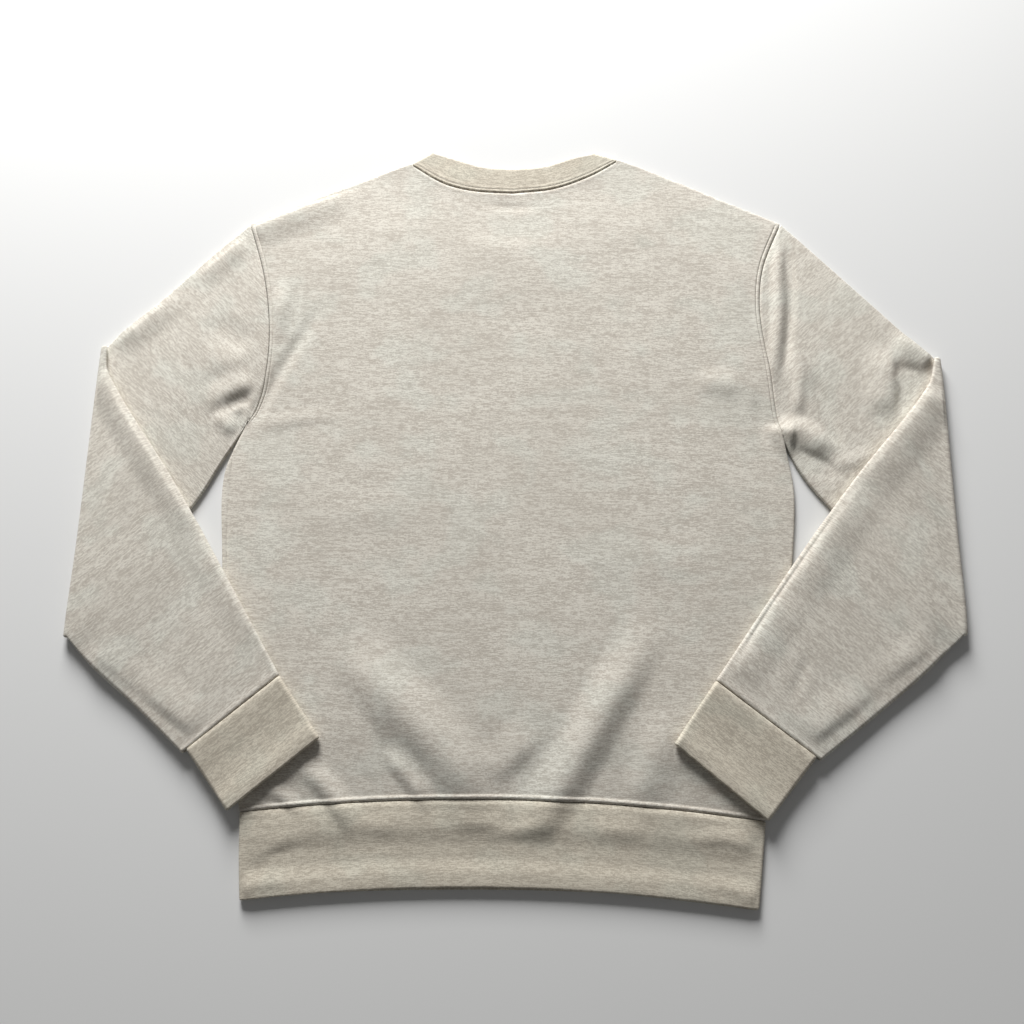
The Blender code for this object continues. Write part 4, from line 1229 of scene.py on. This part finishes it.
def make_neckband():
    columns = BAND_ACROSS[None, :, None]
    back_seam = evenly(shifted(neck_line(NECK_SEAM, 0), SEAM / 2), BACK_STATIONS)
    back_free = evenly(neck_line(NECK_FREE, 1), BACK_STATIONS)
    for line, corner_index in ((back_seam, 0), (back_free, 1)):
        line[0], line[-1] = neck_corner(LEFT)[corner_index], neck_corner(RIGHT)[corner_index]
    front_seam = evenly(front_neckline(FRONT_NECK_DROP, back_seam[[0, -1]]), FRONT_STATIONS)
    band_drop = FRONT_NECK_DROP - NECK_BAND_WIDTH + back_free[0, 1] - back_seam[0, 1]
    front_free = evenly(front_neckline(band_drop, back_free[[0, -1]]), FRONT_STATIONS)

    def strip(seam, free, height):
        plan = (1 - columns) * seam[:, None] + columns * free[:, None]
        return np.dstack([plan, np.full(plan.shape[:2], height)])

    def turn(side, angles):
        seam_end, free_end, out = neck_corner(side)[:3]
        line = (1 - columns[0]) * seam_end + columns[0] * free_end
        rings = []
        for angle in angles:
            level = RIB / 2 + RIB_EDGE_RADIUS * (1 - np.cos(angle))
            plan = line + out * RIB_EDGE_RADIUS * np.sin(angle)
            rings.append(np.column_stack([plan, np.full(len(plan), level)]))
        return np.array(rings)

    angles = np.linspace(0.0, pi, TURN_RINGS + 1)[1:-1]
    back = strip(back_seam, back_free, FLAT_HEIGHT)
    back[..., 2] += seam_profile(NECK_RIB_PROFILE, BAND_ACROSS * NECK_BAND_WIDTH)
    rows = np.vstack([
        back,
        turn(RIGHT, angles[::-1]),
        strip(front_seam[::-1], front_free[::-1], RIB / 2),
        turn(LEFT, angles),
    ])
    middle = rows[:, len(BAND_ACROSS) // 2]
    round_way = np.concatenate([[0.0], np.cumsum(np.linalg.norm(np.diff(middle, axis=0), axis=1))])
    flat = np.stack(np.broadcast_arrays(round_way[:, None], BAND_ACROSS * NECK_BAND_WIDTH), -1)
    return rows, make_shell("neck_rib_band", rows, flat + NECK_PLACE, RIB, rib, round_rows=True)


neck_rows, neckband = make_neckband()

# %% [markdown]
# ## Topstitches
# A row of topstitches runs beside the neck seam and both armhole seams, and pulls a groove into the cloth.
# Nearly two hundred stitches could be copied one by one, but they only repeat along a path. So Geometry
# Nodes place them: the path is cut into even steps, a small rounded stitch is set on each step along the
# way of the path, and the copies are made real at the end.

# %% Stitch paths
STITCH_PITCH, STITCH_LENGTH, STITCH_WIDTH, STITCH_SINK = 3.2, 2.7, 0.55, 0.05
ARMHOLE_STITCH_COLUMN = NEAR_EDGE.index(3.3)
NECK_STITCH_COLUMN = int(np.argmin(np.abs(BAND_ACROSS * NECK_BAND_WIDTH - 3.0)))
UNDERARM_ROOM = 6.0      # no stitches this near to an underarm
STITCH_TRIM = 2          # grid rows without stitches at the end of a path


def stitch_paths():
    """Lines on top of the cloth, in the grooves of the topstitches."""
    lift = np.array([0.0, 0.0, FLEECE / 2 - STITCH_SINK])
    columns = ((back_rows[:, ARMHOLE_STITCH_COLUMN], UNDERARM.left_y),
               (back_rows[:, -1 - ARMHOLE_STITCH_COLUMN], UNDERARM.right_y))
    paths = [column[column[:, 1] > low + UNDERARM_ROOM][:-STITCH_TRIM] + lift for column, low in columns]
    neck = neck_rows[STITCH_TRIM:BACK_STATIONS - STITCH_TRIM, NECK_STITCH_COLUMN]
    return [*paths, neck + (0.0, 0.0, RIB / 2 - STITCH_SINK)]


def path_curves(name, paths):
    """One curve object with a straight-sided spline through each path."""
    curve = bpy.data.curves.new(name, "CURVE")
    curve.dimensions = "3D"
    for path in paths:
        spline = curve.splines.new("POLY")
        spline.points.add(len(path) - 1)
        placed = np.column_stack([in_metres(path), np.ones(len(path))])
        spline.points.foreach_set("co", placed.ravel())
    return new_object(name, curve)


seam_paths = path_curves("seam_paths", stitch_paths())
print("stitch paths:", [len(spline.points) for spline in seam_paths.data.splines], "points")

# %% Stitch tree
STITCH_SEGMENTS, STITCH_RINGS = 6, 5
THREAD_DARK, THREAD_LIGHT = (0.62, 0.58, 0.49), (0.86, 0.82, 0.73)
STRANDS = 1400.0                   # to the metre
THREAD_ROUGHNESS, STRAND_ROUGHNESS = 0.55, 0.2


def thread_material():
    material, tree, surface = new_material("oatmeal_thread")
    place = Shade(tree).node("ShaderNodeTexCoord", {}, {}, "Object")
    strands = place.node("ShaderNodeTexNoise", {}, {"Vector": place, "Scale": STRANDS, "Detail": 2.0})
    colour = place.mixed(strands, tinted(THREAD_DARK), tinted(THREAD_LIGHT))
    tree.links.new(colour.socket, surface["Base Color"])
    roughness = THREAD_ROUGHNESS + strands * STRAND_ROUGHNESS
    tree.links.new(roughness.socket, surface["Roughness"])
    return material


def stitch_tree(material):
    """Stitches of a given length and width, one at each pitch along the curves that come in."""
    tree = bpy.data.node_groups.new("topstitches", "GeometryNodeTree")
    tree.interface.new_socket("Paths", in_out="INPUT", socket_type="NodeSocketGeometry")
    sizes = {name: tree.interface.new_socket(name, in_out="INPUT", socket_type="NodeSocketFloat")
             for name in ("Pitch", "Length", "Width")}
    tree.interface.new_socket("Stitches", in_out="OUTPUT", socket_type="NodeSocketGeometry")
    start = Shade(tree).node("NodeGroupInput", {}, {})
    paths, pitch, length, width = (Shade(tree, start.socket.node.outputs[name])
                                   for name in ("Paths", "Pitch", "Length", "Width"))
    steps = start.node("GeometryNodeResampleCurve", {"mode": "LENGTH"}, {"Curve": paths, "Length": pitch})
    bead = start.node("GeometryNodeMeshUVSphere", {},
                      {"Segments": STITCH_SEGMENTS, "Rings": STITCH_RINGS, "Radius": 0.5})
    size = start.node("ShaderNodeCombineXYZ", {}, {0: length, 1: width, 2: width})
    stitch = start.node("GeometryNodeTransform", {}, {"Geometry": bead, "Scale": size})
    tangent = start.node("GeometryNodeInputTangent", {}, {})
    turn = start.node("FunctionNodeAlignRotationToVector", {"axis": "X"}, {"Vector": tangent})
    placed = start.node("GeometryNodeInstanceOnPoints", {},
                        {"Points": steps, "Instance": stitch, "Rotation": turn})
    real = start.node("GeometryNodeRealizeInstances", {}, {"Geometry": placed})
    smooth_faces = start.node("GeometryNodeSetShadeSmooth", {}, {"Geometry": real})
    finished = start.node("GeometryNodeSetMaterial", {}, {"Geometry": smooth_faces, "Material": material})
    end = tree.nodes.new("NodeGroupOutput")
    tree.links.new(finished.socket, end.inputs["Stitches"])
    return tree, sizes


def make_stitches(holder):
    tree, sizes = stitch_tree(thread_material())
    sewing = holder.modifiers.new("topstitches", "NODES")
    sewing.node_group = tree
    for name, size in (("Pitch", STITCH_PITCH), ("Length", STITCH_LENGTH), ("Width", STITCH_WIDTH)):
        sewing[sizes[name].identifier] = size * MM
    ready = holder.evaluated_get(bpy.context.evaluated_depsgraph_get())
    stitches = new_object("seam_topstitches", bpy.data.meshes.new_from_object(ready))
    bpy.data.objects.remove(holder)
    return stitches


stitches = make_stitches(seam_paths)
print(len(stitches.data.polygons), "faces of stitches,", len(stitches.data.materials), "material")

# %% [markdown]
# ## Pieces and solids
# Each new piece stands for one solid, which it hides, and moves with the one body. Its area of cloth is
# printed beside the size that it was cut to.

Cut = namedtuple("Cut", "piece rows rounds node slot flat held rests_on")
CUTS = (
    Cut(front_panel, front_rows, (False, False), "front_panel", "fleece", (0.54, 0.62), "laid", []),
    Cut(back_panel, back_rows, (False, False), "back_panel", "fleece", (0.54, 0.62), "laid",
        ["front_panel_cloth"]),
    *(Cut(sleeves[side][1], sleeves[side][0], (False, True), "sleeve_" + SIDE_NAMES[side], "fleece",
          (0.50, 0.60), "folded", ["back_panel_cloth"]) for side in SIDES),
    Cut(neckband, neck_rows, (True, False), "neck_rib", "rib", (0.58, 0.03), "laid", []),
    Cut(hem, hem_rows, (False, True), "hem_rib", "rib", (0.90, 0.075), "laid", []),
    *(Cut(cuffs[side][1], cuffs[side][0], (False, True), "cuff_" + SIDE_NAMES[side], "rib",
          (0.21, 0.066), "laid", ["back_panel_cloth", "hem_rib_band"]) for side in SIDES),
)
for cut in CUTS:
    area = cloth_area(cut.rows, *cut.rounds)
    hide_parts(cut.node)
    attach(cut.piece, "root")
    round(min(area, cut.flat[0] * cut.flat[1]), 4)
    print("%s: cut from %.2f by %.2f m, area %.3f" % (cut.node, *cut.flat, area))

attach(stitches, "root")

# %% [markdown]
# ## Floor and light
# The floor is plain and pale. The light is one soft window low beyond the collar, which grazes the cloth
# and shows every crease, with a weak even light from all round.

# %% Floor and light
WINDOW_PLACE, WINDOW_TARGET = (-0.45, 1.97, 0.92), (0.0, 0.0, 0.0)
WINDOW_SIZE, WINDOW_POWER = 0.95, 89.0
ROOM_LIGHT, ROOM_COLOUR = 0.12, (1.0, 1.0, 1.0)
FLOOR_HALF, FLOOR_COLOUR, FLOOR_ROUGHNESS = 3.0, (0.80, 0.80, 0.79), 0.9


def make_floor():
    mesh = bpy.data.meshes.new("floor")
    corners = [(x * FLOOR_HALF, y * FLOOR_HALF, 0) for x, y in ((-1, -1), (1, -1), (1, 1), (-1, 1))]
    mesh.from_pydata(corners, [], [(0, 1, 2, 3)])
    paint, _, surface = new_material("pale_floor")
    surface["Base Color"].default_value = tinted(FLOOR_COLOUR)
    surface["Roughness"].default_value = FLOOR_ROUGHNESS
    mesh.materials.append(paint)
    floor = new_object("floor", mesh)


def make_light():
    light = bpy.data.lights.new("window", "AREA")
    light.size = WINDOW_SIZE
    light.energy = WINDOW_POWER
    window = new_object("window", light)
    window.location = WINDOW_PLACE
    direction = Vector(WINDOW_TARGET) - Vector(WINDOW_PLACE)
    window.rotation_euler = direction.to_track_quat("-Z", "Y").to_euler()
    world = bpy.data.worlds.new("room")
    world.use_nodes = True
    background = world.node_tree.nodes["Background"].inputs
    background["Color"].default_value = tinted(ROOM_COLOUR)
    background["Strength"].default_value = ROOM_LIGHT
    bpy.context.scene.world = world
    bpy.context.scene.view_settings.view_transform = "Standard"


make_floor()
make_light()
print("window light", WINDOW_POWER, "W")
